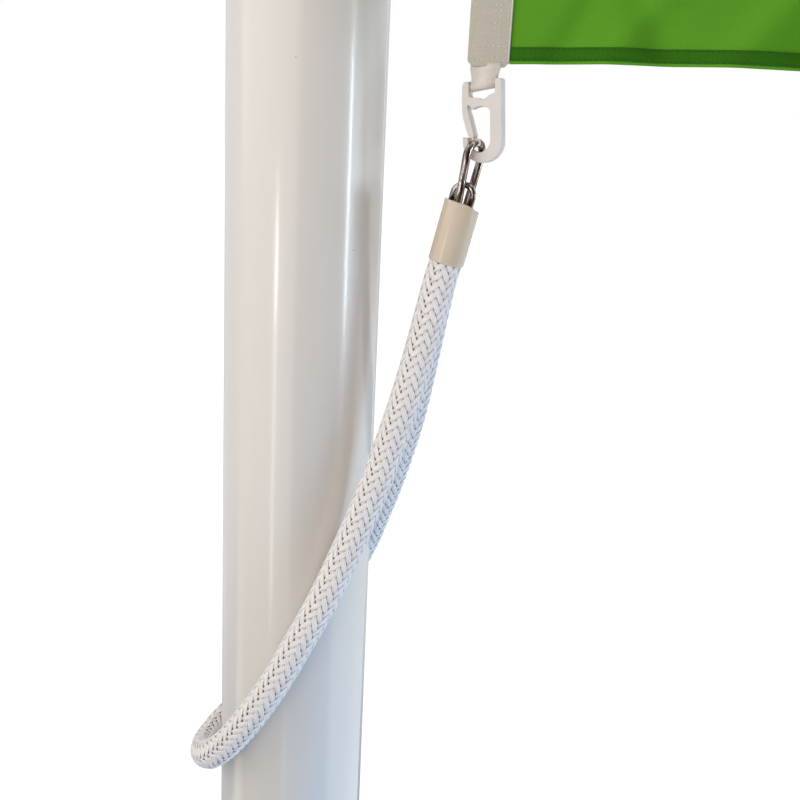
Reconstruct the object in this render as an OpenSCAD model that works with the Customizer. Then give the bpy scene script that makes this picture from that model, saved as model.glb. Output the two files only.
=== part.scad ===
// Flagpole with a swivelling banner arm, a tall flag and a weighted rope loop round the shaft.
// Millimetres, +Z up, flag towards +X, origin in the middle of the base plate's underside.

/* [Shaft] */
// Outer diameter of the shaft at its foot
shaft_foot_d = 115; // [90:1:130]
// Outer diameter of the shaft at its top
shaft_top_d = 73; // [60:1:85]
// Wall of the hollow shaft
shaft_wall = 4; // [3:0.5:8]
// Height of the shaft's top above the base plate's underside
shaft_top = 4650; // [4400:10:6000]

/* [Foot] */
// Side of the square base plate
plate_w = 300; // [280:5:400]
// Thickness of the base plate
plate_t = 15; // [10:1:25]
// Corner radius of the base plate
plate_corner = 20; // [5:1:30]
// Distance of the bolt holes from the plate's edges
bolt_inset = 35; // [25:1:45]
// Diameter of the bolt holes
bolt_hole_d = 18; // [12:1:24]
// Height of the steel foot sleeve above the plate
sleeve_h = 250; // [180:5:400]
// Wall of the foot sleeve
sleeve_wall = 8; // [5:0.5:12]
// Gap between the shaft and the foot sleeve
sleeve_gap = 1; // [0.5:0.5:3]
// Thickness of the foot ribs
rib_t = 10; // [6:1:16]
// Height of the foot ribs
rib_h = 150; // [80:5:170]
// Distance of each rib's toe from the plate's edge
rib_toe = 18.5; // [5:0.5:40]
// Height of the rain collar
collar_h = 30; // [15:1:50]

/* [Swivel] */
// Diameter of the spindle that the head turns on
spindle_d = 20; // [14:1:30]
// Running clearance between spindle and head
spindle_gap = 0.4; // [0.2:0.1:1]
// Length of the spindle above its collar
spindle_l = 92; // [70:1:110]
// Thickness of the thrust washer
washer_t = 3; // [2:0.5:6]
// Outer diameter of the swivel head
head_d = 92; // [90:1:120]
// Wall of the head's rain skirt
skirt_wall = 4; // [3:0.5:6]
// How far the rain skirt reaches down past the shaft's top
skirt_drop = 15; // [5:1:30]
// Height of the domed cap
dome_h = 24; // [12:1:36]

/* [Arm] */
// Outer diameter of the banner arm
arm_d = 22; // [18:1:30]
// Wall of the banner arm
arm_wall = 2.5; // [1.5:0.5:4]
// Reach of the banner arm's end past the flag's outer edge
arm_reach = 15; // [5:1:80]
// Wall of the arm's socket
socket_wall = 8; // [5:0.5:12]
// Reach of the arm's socket from the pole's axis
socket_reach = 92; // [75:1:95]

/* [Flag] */
// Height of the flag's lower edge
flag_bottom = 1700; // [1650:5:1800]
// Distance of the flag's inner edge from the pole's axis
hoist_x = 100; // [98:1:104]
// Width of the flag's cloth outside the heading tape
flag_w = 1000; // [700:5:1400]
// Thickness of the cloth, as a simple slab
flag_t = 2; // [1.5:0.5:4]
// Height of the flag's hem
hem_h = 9; // [6:1:20]
// Width of the heading tape
tape_w = 25; // [22:1:40]
// Thickness of the heading tape
tape_t = 4; // [3:0.5:6]
// Height of the cloth's folds, from the middle to a crest
fold_depth = 16; // [8:1:24]

/* [Clip] */
// Width of the webbing loop
webbing_w = 16; // [12:0.5:17]
// Thickness of one ply of the webbing
webbing_t = 1.4; // [1:0.2:2]
// Width of the snap clip
clip_w = 25; // [24:1:32]
// Length of the snap clip
clip_h = 48; // [46:1:60]
// Thickness of the snap clip
clip_t = 7; // [6:0.5:10]
// Diameter of the bar that the webbing goes round
clip_bar_d = 3.4; // [3:0.2:3.6]
// Width of the clip's spine
spine_w = 7.4; // [5:0.2:8]
// Thickness of the hook's bow
bow_t = 7; // [5:0.5:9]
// Width of the spring gate
gate_w = 3.4; // [2.5:0.1:3.6]
// Turn of the clip about its hanging line
clip_turn = -12; // [-20:1:20]
// Tilt of the clip in the flag's plane
clip_tilt = 5; // [0:1:8]

/* [Weight] */
// Wire diameter of the pear link
link_wire = 5; // [4:0.5:5.5]
// Radius of the link's wide end, to the middle of the wire
link_top_r = 8; // [7.5:0.5:12]
// Radius of the link's narrow end, to the middle of the wire
link_end_r = 5.5; // [5.5:0.5:7]
// Turn of the link about its hanging line
link_turn = 66; // [63:1:90]
// Wire diameter of the steel eye
eye_wire = 4; // [3:0.5:4.5]
// Radius of the eye's bow, to the middle of the wire
eye_r = 6.5; // [6:0.5:7.5]
// Height of the eye above the ferrule's rim
eye_rise = 11; // [10:1:16]
// Width of the rope's ferrule across the flag's plane
ferrule_w = 22.5; // [21.5:0.5:26]
// Depth of the ferrule, which holds both ends of the rope
ferrule_depth = 44; // [43:1:50]
// Length of the ferrule
ferrule_l = 38; // [34:1:50]
// Wall of the ferrule's open top
ferrule_wall = 1.6; // [1:0.2:1.6]
// Diameter of the rope
rope_d = 21; // [16:0.5:21]

/* [Hidden] */

$fn = 96;
// Overlap that makes a cut run clean through a face
cut = 1;
// Gap between pieces that hang in or on each other
hang_gap = 0.1;
// Gap between the washer and the head that turns over it
run_gap = 0.3;

// Shaft
shaft_foot_r = shaft_foot_d / 2;
shaft_top_r = shaft_top_d / 2;
shaft_taper = (shaft_foot_r - shaft_top_r) / (shaft_top - plate_t);
function shaft_r(z) = shaft_foot_r - shaft_taper * (z - plate_t);

// Foot
sleeve_inner_r = shaft_foot_r + sleeve_gap;
sleeve_outer_r = sleeve_inner_r + sleeve_wall;
sleeve_top = plate_t + sleeve_h;
bolt_spacing = plate_w - 2 * bolt_inset;
rib_reach = plate_w / 2 - rib_toe;
rib_root = 1.5;
rib_lip = 12;
collar_lip = 8;
collar_gap = 0.2;
collar_proud = 1;
collar_r = sleeve_outer_r + collar_proud;

// Plug and spindle
plug_flange_t = 8;
plug_fit = 0.2;
plug_depth = 60;
plug_top = shaft_top + plug_flange_t;
shank_step = 2;
shank_d = spindle_d - 2 * shank_step;
shank_l = 48;
spindle_collar_inset = 6;
spindle_collar_r = shaft_top_r - spindle_collar_inset;
spindle_collar_t = 5;
washer_base = plug_top + spindle_collar_t;
washer_inset = 1;
washer_r = spindle_collar_r - washer_inset;
spindle_top = washer_base + spindle_l;
spindle_tip = 2;

// Head, which turns on the spindle
head_r = head_d / 2;
head_seat = washer_base + washer_t + run_gap;
head_foot = shaft_top - skirt_drop;
head_crown = 8;
head_top = spindle_top + head_crown;
head_shoulder = 14;
bore_r = spindle_d / 2 + spindle_gap;
bore_end_gap = 2;
bore_top = spindle_top + bore_end_gap;
dome_r = head_r - head_shoulder / 2;
dome_sphere_r = (dome_r * dome_r + dome_h * dome_h) / (2 * dome_h);

// Arm and its socket
arm_rise = 48;
arm_z = head_seat + arm_rise;
arm_fit = 0.15;
arm_root_wall = 30;
arm_root = bore_r + arm_root_wall;
socket_r = arm_d / 2 + arm_fit + socket_wall;
socket_bead = 2;
socket_bead_l = 8;
cap_lip = 4;
cap_spigot = 25;
cap_dome = 10;

// Flag
hem_loose = 1.5;
hem_inner_r = arm_d / 2 + hem_loose;
hem_outer_r = hem_inner_r + flag_t;
hem_z = arm_z - hem_loose + hang_gap;
hem_proud = 1;
hem_strip_t = flag_t + 2 * hem_proud;
tape_drop = 2;
tape_corner = 3;
tape_bottom = flag_bottom - tape_drop;
cloth_x = hoist_x + tape_w;
fly_x = cloth_x + flag_w;
arm_end = fly_x + arm_reach;

// Folds of the cloth: none at the tape and at the arm, full further out and down
fold_pitch = 838;
fold_slant = 0.0315;
fold_start = 23;
fold_root = 350;
fold_fade = 800;
fold_columns = 10;
fold_rows = 8;
cloth_h = hem_z - flag_bottom;
function fold(run, rise) = fold_depth * sin(360 * run / fold_pitch - fold_slant * rise + fold_start)
    * min(1, run / fold_root) * max(0, min(1, (cloth_h - hem_outer_r - rise) / fold_fade));

// Webbing and clip, which hang in a line under the heading tape
webbing_drop = 10;
webbing_inset = 10.5;
clip_x = hoist_x + webbing_inset;
clip_bar_z = tape_bottom - webbing_drop;
webbing_inner_r = clip_bar_d / 2 + hang_gap;
webbing_outer_r = webbing_inner_r + webbing_t;
clip_head_h = 16.5;
window_gap = 0.2;
clip_window_w = webbing_w + 2 * window_gap;
clip_ear_w = (clip_w - clip_window_w) / 2;
clip_bar_drop = 2.75;
clip_window_side = 8.2;
clip_window_h = 10.2;
clip_window_flat = 9;
clip_notch_w = 4.4;
clip_notch_h = 1.6;
clip_corner = 3;
clip_fillet = 2.2;
nose_w = 4.4;
nose_h = 13.8;
gate_gap = 0.5;
gate_overlap = 0.4;
relief_r = 1.2;
hook_left = -clip_w / 2 + nose_w;
hook_right = clip_w / 2 - spine_w;
hook_r = (hook_right - hook_left) / 2;
hook_u = (hook_right + hook_left) / 2;
bow_r = clip_w / 2;

// Rope: the front half of its loop, from the ferrule round to the far side of the shaft.
// Each point is x, y and the drop below the flag's lower edge.
rope_front = [
    [95, -10.7, 117], [91.6, -11.2, 130], [87.4, -13.2, 152], [82.6, -16.8, 178], [77, -21.5, 206],
    [71, -26, 232], [64, -31.5, 258], [56, -37.5, 284], [47, -44.5, 310], [37, -52, 337],
    [24, -59.5, 366], [8, -63.5, 399], [-9, -63.5, 428], [-26, -58.5, 453], [-42, -48.5, 472],
    [-55, -33, 484], [-62, -16, 490], [-64, 0, 492]];
rope_sides = 10;
rope_count = len(rope_front);
rope_drop = rope_front[0][2];

// Ferrule and eye, which lean in towards the shaft and are turned a little
ferrule_lean = 14.5;
ferrule_turn = 8;
turn_fade = 110;
ferrule_corner = 8;
ferrule_pocket = 14;
rope_end_gap = 0.02;
ferrule_axis = [sin(ferrule_lean), 0, cos(ferrule_lean)];
ferrule_side = [-sin(ferrule_turn) * cos(ferrule_lean), cos(ferrule_turn),
    sin(ferrule_turn) * sin(ferrule_lean)];
ferrule_foot = [rope_front[0][0], 0, flag_bottom - rope_drop] + rope_end_gap * ferrule_axis;
// Both strands of the rope start side by side in the turned ferrule, and swing straight lower down
function rope_point(i) = let (p = i < rope_count ? rope_front[i] : rope_front[2 * rope_count - 2 - i],
        share = max(0, 1 - (p[2] - rope_drop) / turn_fade),
        way = [0, 1, 0] + share * (ferrule_side - [0, 1, 0]))
    [p[0], 0, flag_bottom - p[2]] + (i < rope_count ? p[1] : -p[1]) * way;
rope_route = [for (i = [0 : 2 * rope_count - 2]) rope_point(i)];
// Slack between the eye and the link that hangs in it
eye_gap = 10.5;
eye_seat = ferrule_foot + (ferrule_l + eye_rise - eye_wire - link_wire / 2 - eye_gap) * ferrule_axis;

// The link reaches from the hook's bow to the eye
hook_gap = 0.9;
link_bow_half = clip_t / 2 / sin(link_turn - clip_turn);
link_inner_r = link_top_r - link_wire / 2;
link_rise = link_inner_r - sqrt(max(0, pow(link_inner_r, 2) - pow(link_bow_half, 2)));
hook_mid_w = clip_bar_drop - clip_h + bow_t + hook_r;
hook_mid_u = hook_u * cos(clip_tilt) - hook_mid_w * sin(clip_tilt);
hook_mid_z = clip_bar_z + hook_u * sin(clip_tilt) + hook_mid_w * cos(clip_tilt);
hook_seat = [clip_x + hook_mid_u * cos(clip_turn), hook_mid_u * sin(clip_turn),
    hook_mid_z - hook_r + link_wire / 2 + link_rise + hook_gap];
link_line = hook_seat - eye_seat;
link_reach = norm(link_line) - link_top_r - link_end_r;
link_lean = atan2(link_line[0], link_line[2]);
link_flare = asin((link_top_r - link_end_r) / link_reach);
link_sides = 12;
bow_steps = 9;

pole_white = [0.93, 0.93, 0.92];
zinc = [0.62, 0.64, 0.66];
aluminium = [0.78, 0.79, 0.8];
steel = [0.45, 0.43, 0.42];
rubber_black = [0.12, 0.12, 0.12];
nylon = [0.85, 0.84, 0.8];
clip_cream = [0.88, 0.86, 0.83];
ferrule_ivory = [0.86, 0.79, 0.69];
rope_white = [0.92, 0.91, 0.9];
tape_beige = [0.82, 0.8, 0.74];
flag_green = [0.31, 0.6, 0.16];

// A square with round corners, centred
module rounded_square(w, h, r) {
    square([w - 2 * r, h], center = true);
    square([w, h - 2 * r], center = true);
    for (x = [-1, 1], y = [-1, 1])
        translate([x * (w / 2 - r), y * (h / 2 - r)]) circle(r);
}

// A round bar bent through an angle in the XZ plane, from the +X axis towards +Z
module bent_bar(r, d, angle) {
    rotate([90, 0, 0]) rotate_extrude(angle = angle) translate([r, 0]) circle(d = d, $fn = 32);
}

// The square steel plate with its four bolt holes
module base_plate() {
    color(zinc) linear_extrude(plate_t) difference() {
        rounded_square(plate_w, plate_w, plate_corner);
        for (x = [-1, 1], y = [-1, 1])
            translate([x * bolt_spacing / 2, y * bolt_spacing / 2]) circle(d = bolt_hole_d);
    }
}

// The steel tube that holds the shaft's foot
module foot_sleeve() {
    color(zinc) translate([0, 0, plate_t]) difference() {
        cylinder(h = sleeve_h, r = sleeve_outer_r);
        translate([0, 0, -cut]) cylinder(h = sleeve_h + 2 * cut, r = sleeve_inner_r);
    }
}

// Four gusset ribs between the plate and the sleeve
module foot_ribs() {
    color(zinc) for (a = [0 : 90 : 270]) rotate([0, 0, a]) difference() {
        translate([0, rib_t / 2, plate_t]) rotate([90, 0, 0]) linear_extrude(rib_t)
            polygon([[sleeve_outer_r - rib_root, 0], [rib_reach, 0], [rib_reach, rib_lip],
                [sleeve_outer_r + rib_lip, rib_h], [sleeve_outer_r - rib_root, rib_h]]);
        cylinder(h = plate_t + rib_h + cut, r = sleeve_outer_r);
    }
}

// The rubber collar that sheds rain off the sleeve's mouth
module rain_collar() {
    inner = shaft_r(sleeve_top) + collar_gap;
    color(rubber_black) translate([0, 0, sleeve_top]) rotate_extrude()
        polygon([[inner, 0], [collar_r, 0], [collar_r, collar_lip],
            [inner + collar_lip / 2, collar_h], [inner, collar_h]]);
}

// The hollow tapered shaft
module pole_shaft() {
    color(pole_white) rotate_extrude()
        polygon([[shaft_foot_r - shaft_wall, plate_t], [shaft_foot_r, plate_t],
            [shaft_top_r, shaft_top], [shaft_top_r - shaft_wall, shaft_top]]);
}

// The turned plug that closes the shaft and holds the spindle
module top_plug() {
    spigot_r = shaft_top_r - shaft_wall - plug_fit;
    color(aluminium) rotate_extrude()
        polygon([[shank_d / 2 + plug_fit, shaft_top - plug_depth], [spigot_r, shaft_top - plug_depth],
            [spigot_r, shaft_top], [shaft_top_r, shaft_top], [shaft_top_r, plug_top],
            [shank_d / 2 + plug_fit, plug_top]]);
}

// The spindle: a shank in the plug, a collar on it and the journal above
module spindle() {
    color(steel) translate([0, 0, plug_top]) rotate_extrude()
        polygon([[0, -shank_l], [shank_d / 2, -shank_l], [shank_d / 2, 0], [spindle_collar_r, 0],
            [spindle_collar_r, spindle_collar_t], [spindle_d / 2, spindle_collar_t],
            [spindle_d / 2, spindle_collar_t + spindle_l - spindle_tip],
            [spindle_d / 2 - spindle_tip, spindle_collar_t + spindle_l], [0, spindle_collar_t + spindle_l]]);
}

// The plastic ring that the head bears on
module thrust_washer() {
    color(nylon) translate([0, 0, washer_base]) rotate_extrude()
        translate([bore_r, 0]) square([washer_r - bore_r, washer_t]);
}

// The turning head: a hooded casting with the arm's socket on its side
module swivel_head() {
    color(aluminium) difference() {
        union() {
            rotate_extrude() polygon([[0, head_foot], [head_r, head_foot],
                [head_r, head_top - head_shoulder], [dome_r, head_top], [0, head_top]]);
            translate([0, 0, arm_z]) rotate([0, 90, 0]) {
                cylinder(h = socket_reach, r = socket_r);
                translate([0, 0, socket_reach - socket_bead_l])
                    cylinder(h = socket_bead_l, r = socket_r + socket_bead);
            }
        }
        translate([0, 0, head_foot - cut])
            cylinder(h = head_seat - head_foot + cut, r = head_r - skirt_wall);
        cylinder(h = bore_top, r = bore_r);
        translate([arm_root, 0, arm_z]) rotate([0, 90, 0])
            cylinder(h = socket_reach, d = arm_d + 2 * arm_fit);
    }
}

// The domed cap on the head
module head_cap() {
    color(aluminium) intersection() {
        translate([0, 0, head_top + dome_h - dome_sphere_r]) sphere(dome_sphere_r);
        translate([0, 0, head_top]) cylinder(h = dome_h + cut, r = dome_r + cut);
    }
}

// The tube that carries the flag's top
module banner_arm() {
    color(aluminium) translate([arm_root, 0, arm_z]) rotate([0, 90, 0]) difference() {
        cylinder(h = arm_end - arm_root, d = arm_d);
        translate([0, 0, -cut]) cylinder(h = arm_end - arm_root + 2 * cut, d = arm_d - 2 * arm_wall);
    }
}

// The plug with a rounded rim that stops the flag from sliding off
module arm_end_cap() {
    spigot_r = arm_d / 2 - arm_wall - arm_fit;
    rim_r = arm_d / 2 + cap_lip;
    color(rubber_black) translate([arm_end, 0, arm_z]) rotate([0, 90, 0]) rotate_extrude()
        polygon(concat([[0, -cap_spigot], [spigot_r, -cap_spigot], [spigot_r, 0]],
            [for (a = [0 : 15 : 90]) [rim_r * cos(a), cap_lip + cap_dome * sin(a)]],
            [[0, cap_lip + cap_dome]]));
    color(rubber_black) translate([arm_end, 0, arm_z]) rotate([0, 90, 0])
        cylinder(h = cap_lip, r = rim_r);
}

// The hollow hem that the arm passes through
module arm_hem() {
    color(flag_green) translate([hoist_x, 0, hem_z]) rotate([0, 90, 0]) difference() {
        cylinder(h = fly_x - hoist_x, r = hem_outer_r);
        translate([0, 0, -cut]) cylinder(h = fly_x - hoist_x + 2 * cut, r = hem_inner_r);
    }
}

// A sheet in the XZ plane that follows the folds, thicker in its lower and outer hems
module folded_sheet() {
    inner_w = flag_w - hem_h - hem_proud;
    inner_h = cloth_h - hem_outer_r - hem_h - hem_proud;
    runs = concat([for (i = [0 : fold_columns]) inner_w * i / fold_columns], [flag_w - hem_h, flag_w]);
    rises = concat([0, hem_h], [for (k = [0 : fold_rows]) hem_h + hem_proud + inner_h * k / fold_rows]);
    across = len(runs);
    count = across * len(rises);
    function half(i, k) = (k < 2 || i > fold_columns ? hem_strip_t : flag_t) / 2;
    function face_points(side) = [for (k = [0 : len(rises) - 1], i = [0 : across - 1])
        [cloth_x + runs[i], fold(runs[i], rises[k]) + side * half(i, k), flag_bottom + rises[k]]];
    front = [for (k = [0 : len(rises) - 2], i = [0 : across - 2]) let (a = k * across + i)
        each [[a, a + across, a + 1], [a + 1, a + across, a + across + 1]]];
    back = [for (f = front) [f[0] + count, f[2] + count, f[1] + count]];
    rim = concat([for (i = [0 : across - 1]) i], [for (k = [1 : len(rises) - 1]) k * across + across - 1],
        [for (i = [across - 2 : -1 : 0]) count - across + i], [for (k = [len(rises) - 2 : -1 : 1]) k * across]);
    edge = [for (j = [0 : len(rim) - 1]) let (a = rim[j], b = rim[(j + 1) % len(rim)])
        each [[a, b, b + count], [a, b + count, a + count]]];
    polyhedron(concat(face_points(-1), face_points(1)), concat(front, back, edge));
}

// The flag's cloth, which hangs in folds under its hollow top hem
module flag_cloth() {
    color(flag_green) folded_sheet();
}

// The canvas tape sewn along the flag's inner edge
module heading_tape() {
    color(tape_beige) difference() {
        translate([hoist_x, tape_t / 2, 0]) rotate([90, 0, 0]) linear_extrude(tape_t)
            polygon([[tape_corner, tape_bottom], [tape_w - tape_corner, tape_bottom],
                [tape_w, tape_bottom + tape_corner], [tape_w, hem_z], [0, hem_z],
                [0, tape_bottom + tape_corner]]);
        translate([hoist_x - cut, 0, hem_z]) rotate([0, 90, 0]) cylinder(h = tape_w + 2 * cut, r = hem_outer_r);
    }
}

// The webbing, folded round the clip's bar
module webbing_loop() {
    color(tape_beige) difference() {
        translate([clip_x, 0, clip_bar_z]) rotate([0, 0, clip_turn]) rotate([0, -clip_tilt, 0])
            translate([-webbing_w / 2, 0, 0]) rotate([90, 0, 90]) linear_extrude(webbing_w) difference() {
                union() {
                    circle(webbing_outer_r);
                    translate([-webbing_t, 0]) square([2 * webbing_t, 2 * webbing_drop]);
                }
                circle(webbing_inner_r);
            }
        translate([hoist_x - tape_w, -tape_w, tape_bottom]) cube([3 * tape_w, 2 * tape_w, 2 * webbing_drop]);
    }
}

// The clip's outline, hanging down from the middle of its top edge
module clip_outline() {
    difference() {
        translate([0, -clip_head_h / 2]) rounded_square(clip_w, clip_head_h, clip_corner);
        polygon([[-clip_window_w / 2, cut], [clip_window_w / 2, cut], [clip_window_w / 2, -clip_window_side],
            [clip_window_flat / 2, -clip_window_h], [clip_notch_w / 2, -clip_window_h],
            [0, -clip_window_h - clip_notch_h], [-clip_notch_w / 2, -clip_window_h],
            [-clip_window_flat / 2, -clip_window_h], [-clip_window_w / 2, -clip_window_side]]);
        translate([-clip_w / 2 + gate_w + relief_r, -clip_head_h]) circle(relief_r);
    }
    difference() {
        union() {
            translate([0, bow_r - clip_h]) circle(bow_r);
            translate([hook_right, bow_r - clip_h])
                square([spine_w, clip_h - bow_r - clip_head_h + clip_corner]);
            translate([-clip_w / 2, bow_r - clip_h]) square([nose_w, nose_h - bow_r]);
        }
        translate([hook_u, bow_t + hook_r - clip_h]) circle(hook_r);
        translate([hook_left, bow_t + hook_r - clip_h])
            square([2 * hook_r, clip_h - bow_t - hook_r - clip_head_h]);
        translate([-clip_w / 2 - cut, nose_h - clip_h]) square([clip_w / 2, bow_r]);
    }
    // The opening's upper corner by the spine is round
    translate([hook_right - clip_fillet, -clip_head_h - clip_fillet]) difference() {
        square(clip_fillet + cut);
        circle(clip_fillet, $fn = 48);
    }
    // The spring gate slants from the head to the inner side of the nose
    polygon([[-clip_w / 2, clip_corner - clip_head_h], [-clip_w / 2 + gate_w, clip_corner - clip_head_h],
        [-clip_w / 2 + gate_w, -clip_head_h], [hook_left + gate_gap + gate_w, nose_h - gate_overlap - clip_h],
        [hook_left + gate_gap, nose_h - gate_overlap - clip_h], [-clip_w / 2, -clip_head_h - gate_w]]);
}

// The moulded snap clip
module snap_clip() {
    color(clip_cream) translate([clip_x, 0, clip_bar_z]) rotate([0, 0, clip_turn]) rotate([0, -clip_tilt, 0]) {
        translate([0, clip_t / 2, clip_bar_drop]) rotate([90, 0, 0]) linear_extrude(clip_t) clip_outline();
        translate([-clip_w / 2 + clip_ear_w / 2, 0, 0]) rotate([0, 90, 0])
            cylinder(h = clip_w - clip_ear_w, d = clip_bar_d);
    }
}

// A round wire bent into a closed loop along points in the XZ plane
module wire_loop(points, wire, sides) {
    count = len(points);
    rings = [for (i = [0 : count - 1])
        let (run = points[(i + 1) % count] - points[(i + count - 1) % count],
            n = [run[2], 0, -run[0]] / norm(run))
        for (k = [0 : sides - 1])
            points[i] + wire / 2 * (cos(360 * k / sides) * n + sin(360 * k / sides) * [0, 1, 0])];
    walls = [for (i = [0 : count - 1], k = [0 : sides - 1])
        let (a = i * sides + k, b = i * sides + (k + 1) % sides,
            c = (i + 1) % count * sides + k, d = (i + 1) % count * sides + (k + 1) % sides)
        each [[a, b, c], [b, d, c]]];
    polyhedron(rings, walls);
}

// The pear-shaped link between the hook and the eye: a wide bow, two straight legs and a narrow bow
module pear_link() {
    wide = [for (i = [0 : bow_steps]) let (a = -link_flare + i * (180 + 2 * link_flare) / bow_steps)
        [link_top_r * cos(a), 0, link_end_r + link_reach + link_top_r * sin(a)]];
    narrow = [for (i = [0 : bow_steps]) let (a = 180 + link_flare + i * (180 - 2 * link_flare) / bow_steps)
        [link_end_r * cos(a), 0, link_end_r + link_end_r * sin(a)]];
    color(steel) translate(eye_seat) rotate([0, link_lean, 0]) rotate([0, 0, link_turn])
        wire_loop(concat(wide, narrow), link_wire, link_sides);
}

// The steel eye that stands in the ferrule's open top
module weight_eye() {
    leg = eye_rise + ferrule_pocket - eye_wire / 2 - eye_r;
    color(steel) translate(ferrule_foot) rotate([0, ferrule_lean, 0]) rotate([0, 0, ferrule_turn])
        translate([0, 0, ferrule_l - ferrule_pocket]) {
            translate([0, 0, leg]) bent_bar(eye_r, eye_wire, 180);
            for (side = [-1, 1]) translate([side * eye_r, 0, 0]) cylinder(h = leg, d = eye_wire, $fn = 32);
        }
}

// The moulded ferrule that grips both ends of the rope
module weight_ferrule() {
    inner_w = ferrule_w - 2 * ferrule_wall;
    inner_depth = ferrule_depth - 2 * ferrule_wall;
    color(ferrule_ivory) translate(ferrule_foot) rotate([0, ferrule_lean, 0]) rotate([0, 0, ferrule_turn])
        difference() {
            linear_extrude(ferrule_l) rounded_square(ferrule_w, ferrule_depth, ferrule_corner);
            translate([0, 0, ferrule_l - ferrule_pocket]) linear_extrude(ferrule_pocket + cut)
                rounded_square(inner_w, inner_depth, ferrule_corner - ferrule_wall);
        }
}

// A tube swept along points: each ring faces along the route, with one spoke away from the shaft
module swept_tube(points, radius, sides, end_axis) {
    last = len(points) - 1;
    function along(i) = i == 0 ? -end_axis : i == last ? end_axis : points[i + 1] - points[i - 1];
    rings = [for (i = [0 : last])
        let (t = along(i) / norm(along(i)),
            out = [points[i][0], points[i][1], 0],
            spoke = out - (out * t) * t,
            n = spoke / norm(spoke),
            b = cross(t, n))
        for (k = [0 : sides - 1])
            points[i] + radius * (cos(360 * k / sides) * n + sin(360 * k / sides) * b)];
    walls = [for (i = [0 : last - 1], k = [0 : sides - 1])
        let (a = i * sides + k, b = i * sides + (k + 1) % sides)
        each [[a, a + sides, b], [b, a + sides, b + sides]]];
    first_end = [for (k = [0 : sides - 1]) k];
    last_end = [for (k = [sides - 1 : -1 : 0]) last * sides + k];
    polyhedron(rings, concat(walls, [first_end, last_end]));
}

// The weighted rope, from the ferrule round the shaft and back
module weight_rope() {
    color(rope_white) swept_tube(rope_route, rope_d / 2, rope_sides, ferrule_axis);
}

base_plate();
foot_sleeve();
foot_ribs();
rain_collar();
pole_shaft();
top_plug();
spindle();
thrust_washer();
swivel_head();
head_cap();
banner_arm();
arm_end_cap();
arm_hem();
flag_cloth();
heading_tape();
webbing_loop();
snap_clip();
pear_link();
weight_eye();
weight_ferrule();
weight_rope();
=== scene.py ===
"""Dresses the flagpole: finishes for its solid pieces, and meshes for its rope, link, cloth and fittings.

Metres, +Z up, flag towards +X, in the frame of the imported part.
"""

import math

import bmesh
import bpy
import numpy as np
from mathutils import Matrix, Vector


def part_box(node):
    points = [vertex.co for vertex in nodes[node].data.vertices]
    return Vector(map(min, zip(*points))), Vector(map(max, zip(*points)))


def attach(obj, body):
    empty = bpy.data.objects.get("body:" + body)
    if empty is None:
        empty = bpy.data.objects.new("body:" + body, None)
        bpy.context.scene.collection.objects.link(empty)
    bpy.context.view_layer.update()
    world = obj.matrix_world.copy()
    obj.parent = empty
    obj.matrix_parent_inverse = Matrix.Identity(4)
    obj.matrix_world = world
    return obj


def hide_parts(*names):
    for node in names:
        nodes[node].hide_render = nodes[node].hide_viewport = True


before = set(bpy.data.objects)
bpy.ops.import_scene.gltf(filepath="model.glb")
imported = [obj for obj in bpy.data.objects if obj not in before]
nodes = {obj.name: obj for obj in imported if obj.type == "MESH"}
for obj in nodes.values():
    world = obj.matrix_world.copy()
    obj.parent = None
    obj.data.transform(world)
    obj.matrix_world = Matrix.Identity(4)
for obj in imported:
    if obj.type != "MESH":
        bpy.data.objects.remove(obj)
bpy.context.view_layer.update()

# Camera: where the photo was taken from
LENS_MM = 45.0
SENSOR_MM = 36.0
CAMERA_AT = Vector((0.2118, -0.6165, 1.6681))
CAMERA_TURN = math.radians(13.0)
CAMERA_PITCH = 0.2771
CAMERA_ROLL = 0.0512

# Places taken from the solid pieces
FLAG_LOW, FLAG_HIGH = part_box("flag_cloth")
TAPE_LOW, TAPE_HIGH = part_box("heading_tape")
HEM_LOW, HEM_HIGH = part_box("arm_hem")
PLATE_LOW, PLATE_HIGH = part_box("base_plate")


def set_camera():
    """Puts the camera at the photo's place and angle."""
    level = Vector((math.cos(CAMERA_TURN), math.sin(CAMERA_TURN), 0.0))
    ahead = Vector((-math.sin(CAMERA_TURN), math.cos(CAMERA_TURN), 0.0))
    sight = ahead * math.cos(CAMERA_PITCH) - Vector((0.0, 0.0, math.sin(CAMERA_PITCH)))
    up = level.cross(sight)
    right = level * math.cos(CAMERA_ROLL) + up * math.sin(CAMERA_ROLL)
    top = up * math.cos(CAMERA_ROLL) - level * math.sin(CAMERA_ROLL)
    lens = bpy.data.cameras.new("photo_camera")
    lens.lens = LENS_MM
    lens.sensor_width = SENSOR_MM
    camera = bpy.data.objects.new("photo_camera", lens)
    camera.matrix_world = Matrix.Translation(CAMERA_AT) @ Matrix((right, top, -sight)).transposed().to_4x4()
    bpy.context.scene.collection.objects.link(camera)
    bpy.context.scene.camera = camera


# Nodes and links of a material


def add_node(tree, kind, inputs=None, **settings):
    """A node with its settings, and its inputs set or linked."""
    node = tree.nodes.new(kind)
    for key, value in settings.items():
        setattr(node, key, value)
    for key, value in (inputs or {}).items():
        if isinstance(value, bpy.types.NodeSocket):
            tree.links.new(value, node.inputs[key])
        else:
            node.inputs[key].default_value = value
    return node


def calc(tree, operation, first, second=0.0):
    """The result of a sum, product or function of one or two values."""
    return add_node(tree, "ShaderNodeMath", {0: first, 1: second}, operation=operation).outputs[0]


def colour_mix(tree, share, first, second):
    """Two colours mixed by a share from 0 to 1."""
    return add_node(tree, "ShaderNodeMix", {0: share, 6: first, 7: second}, data_type="RGBA").outputs[2]


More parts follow.
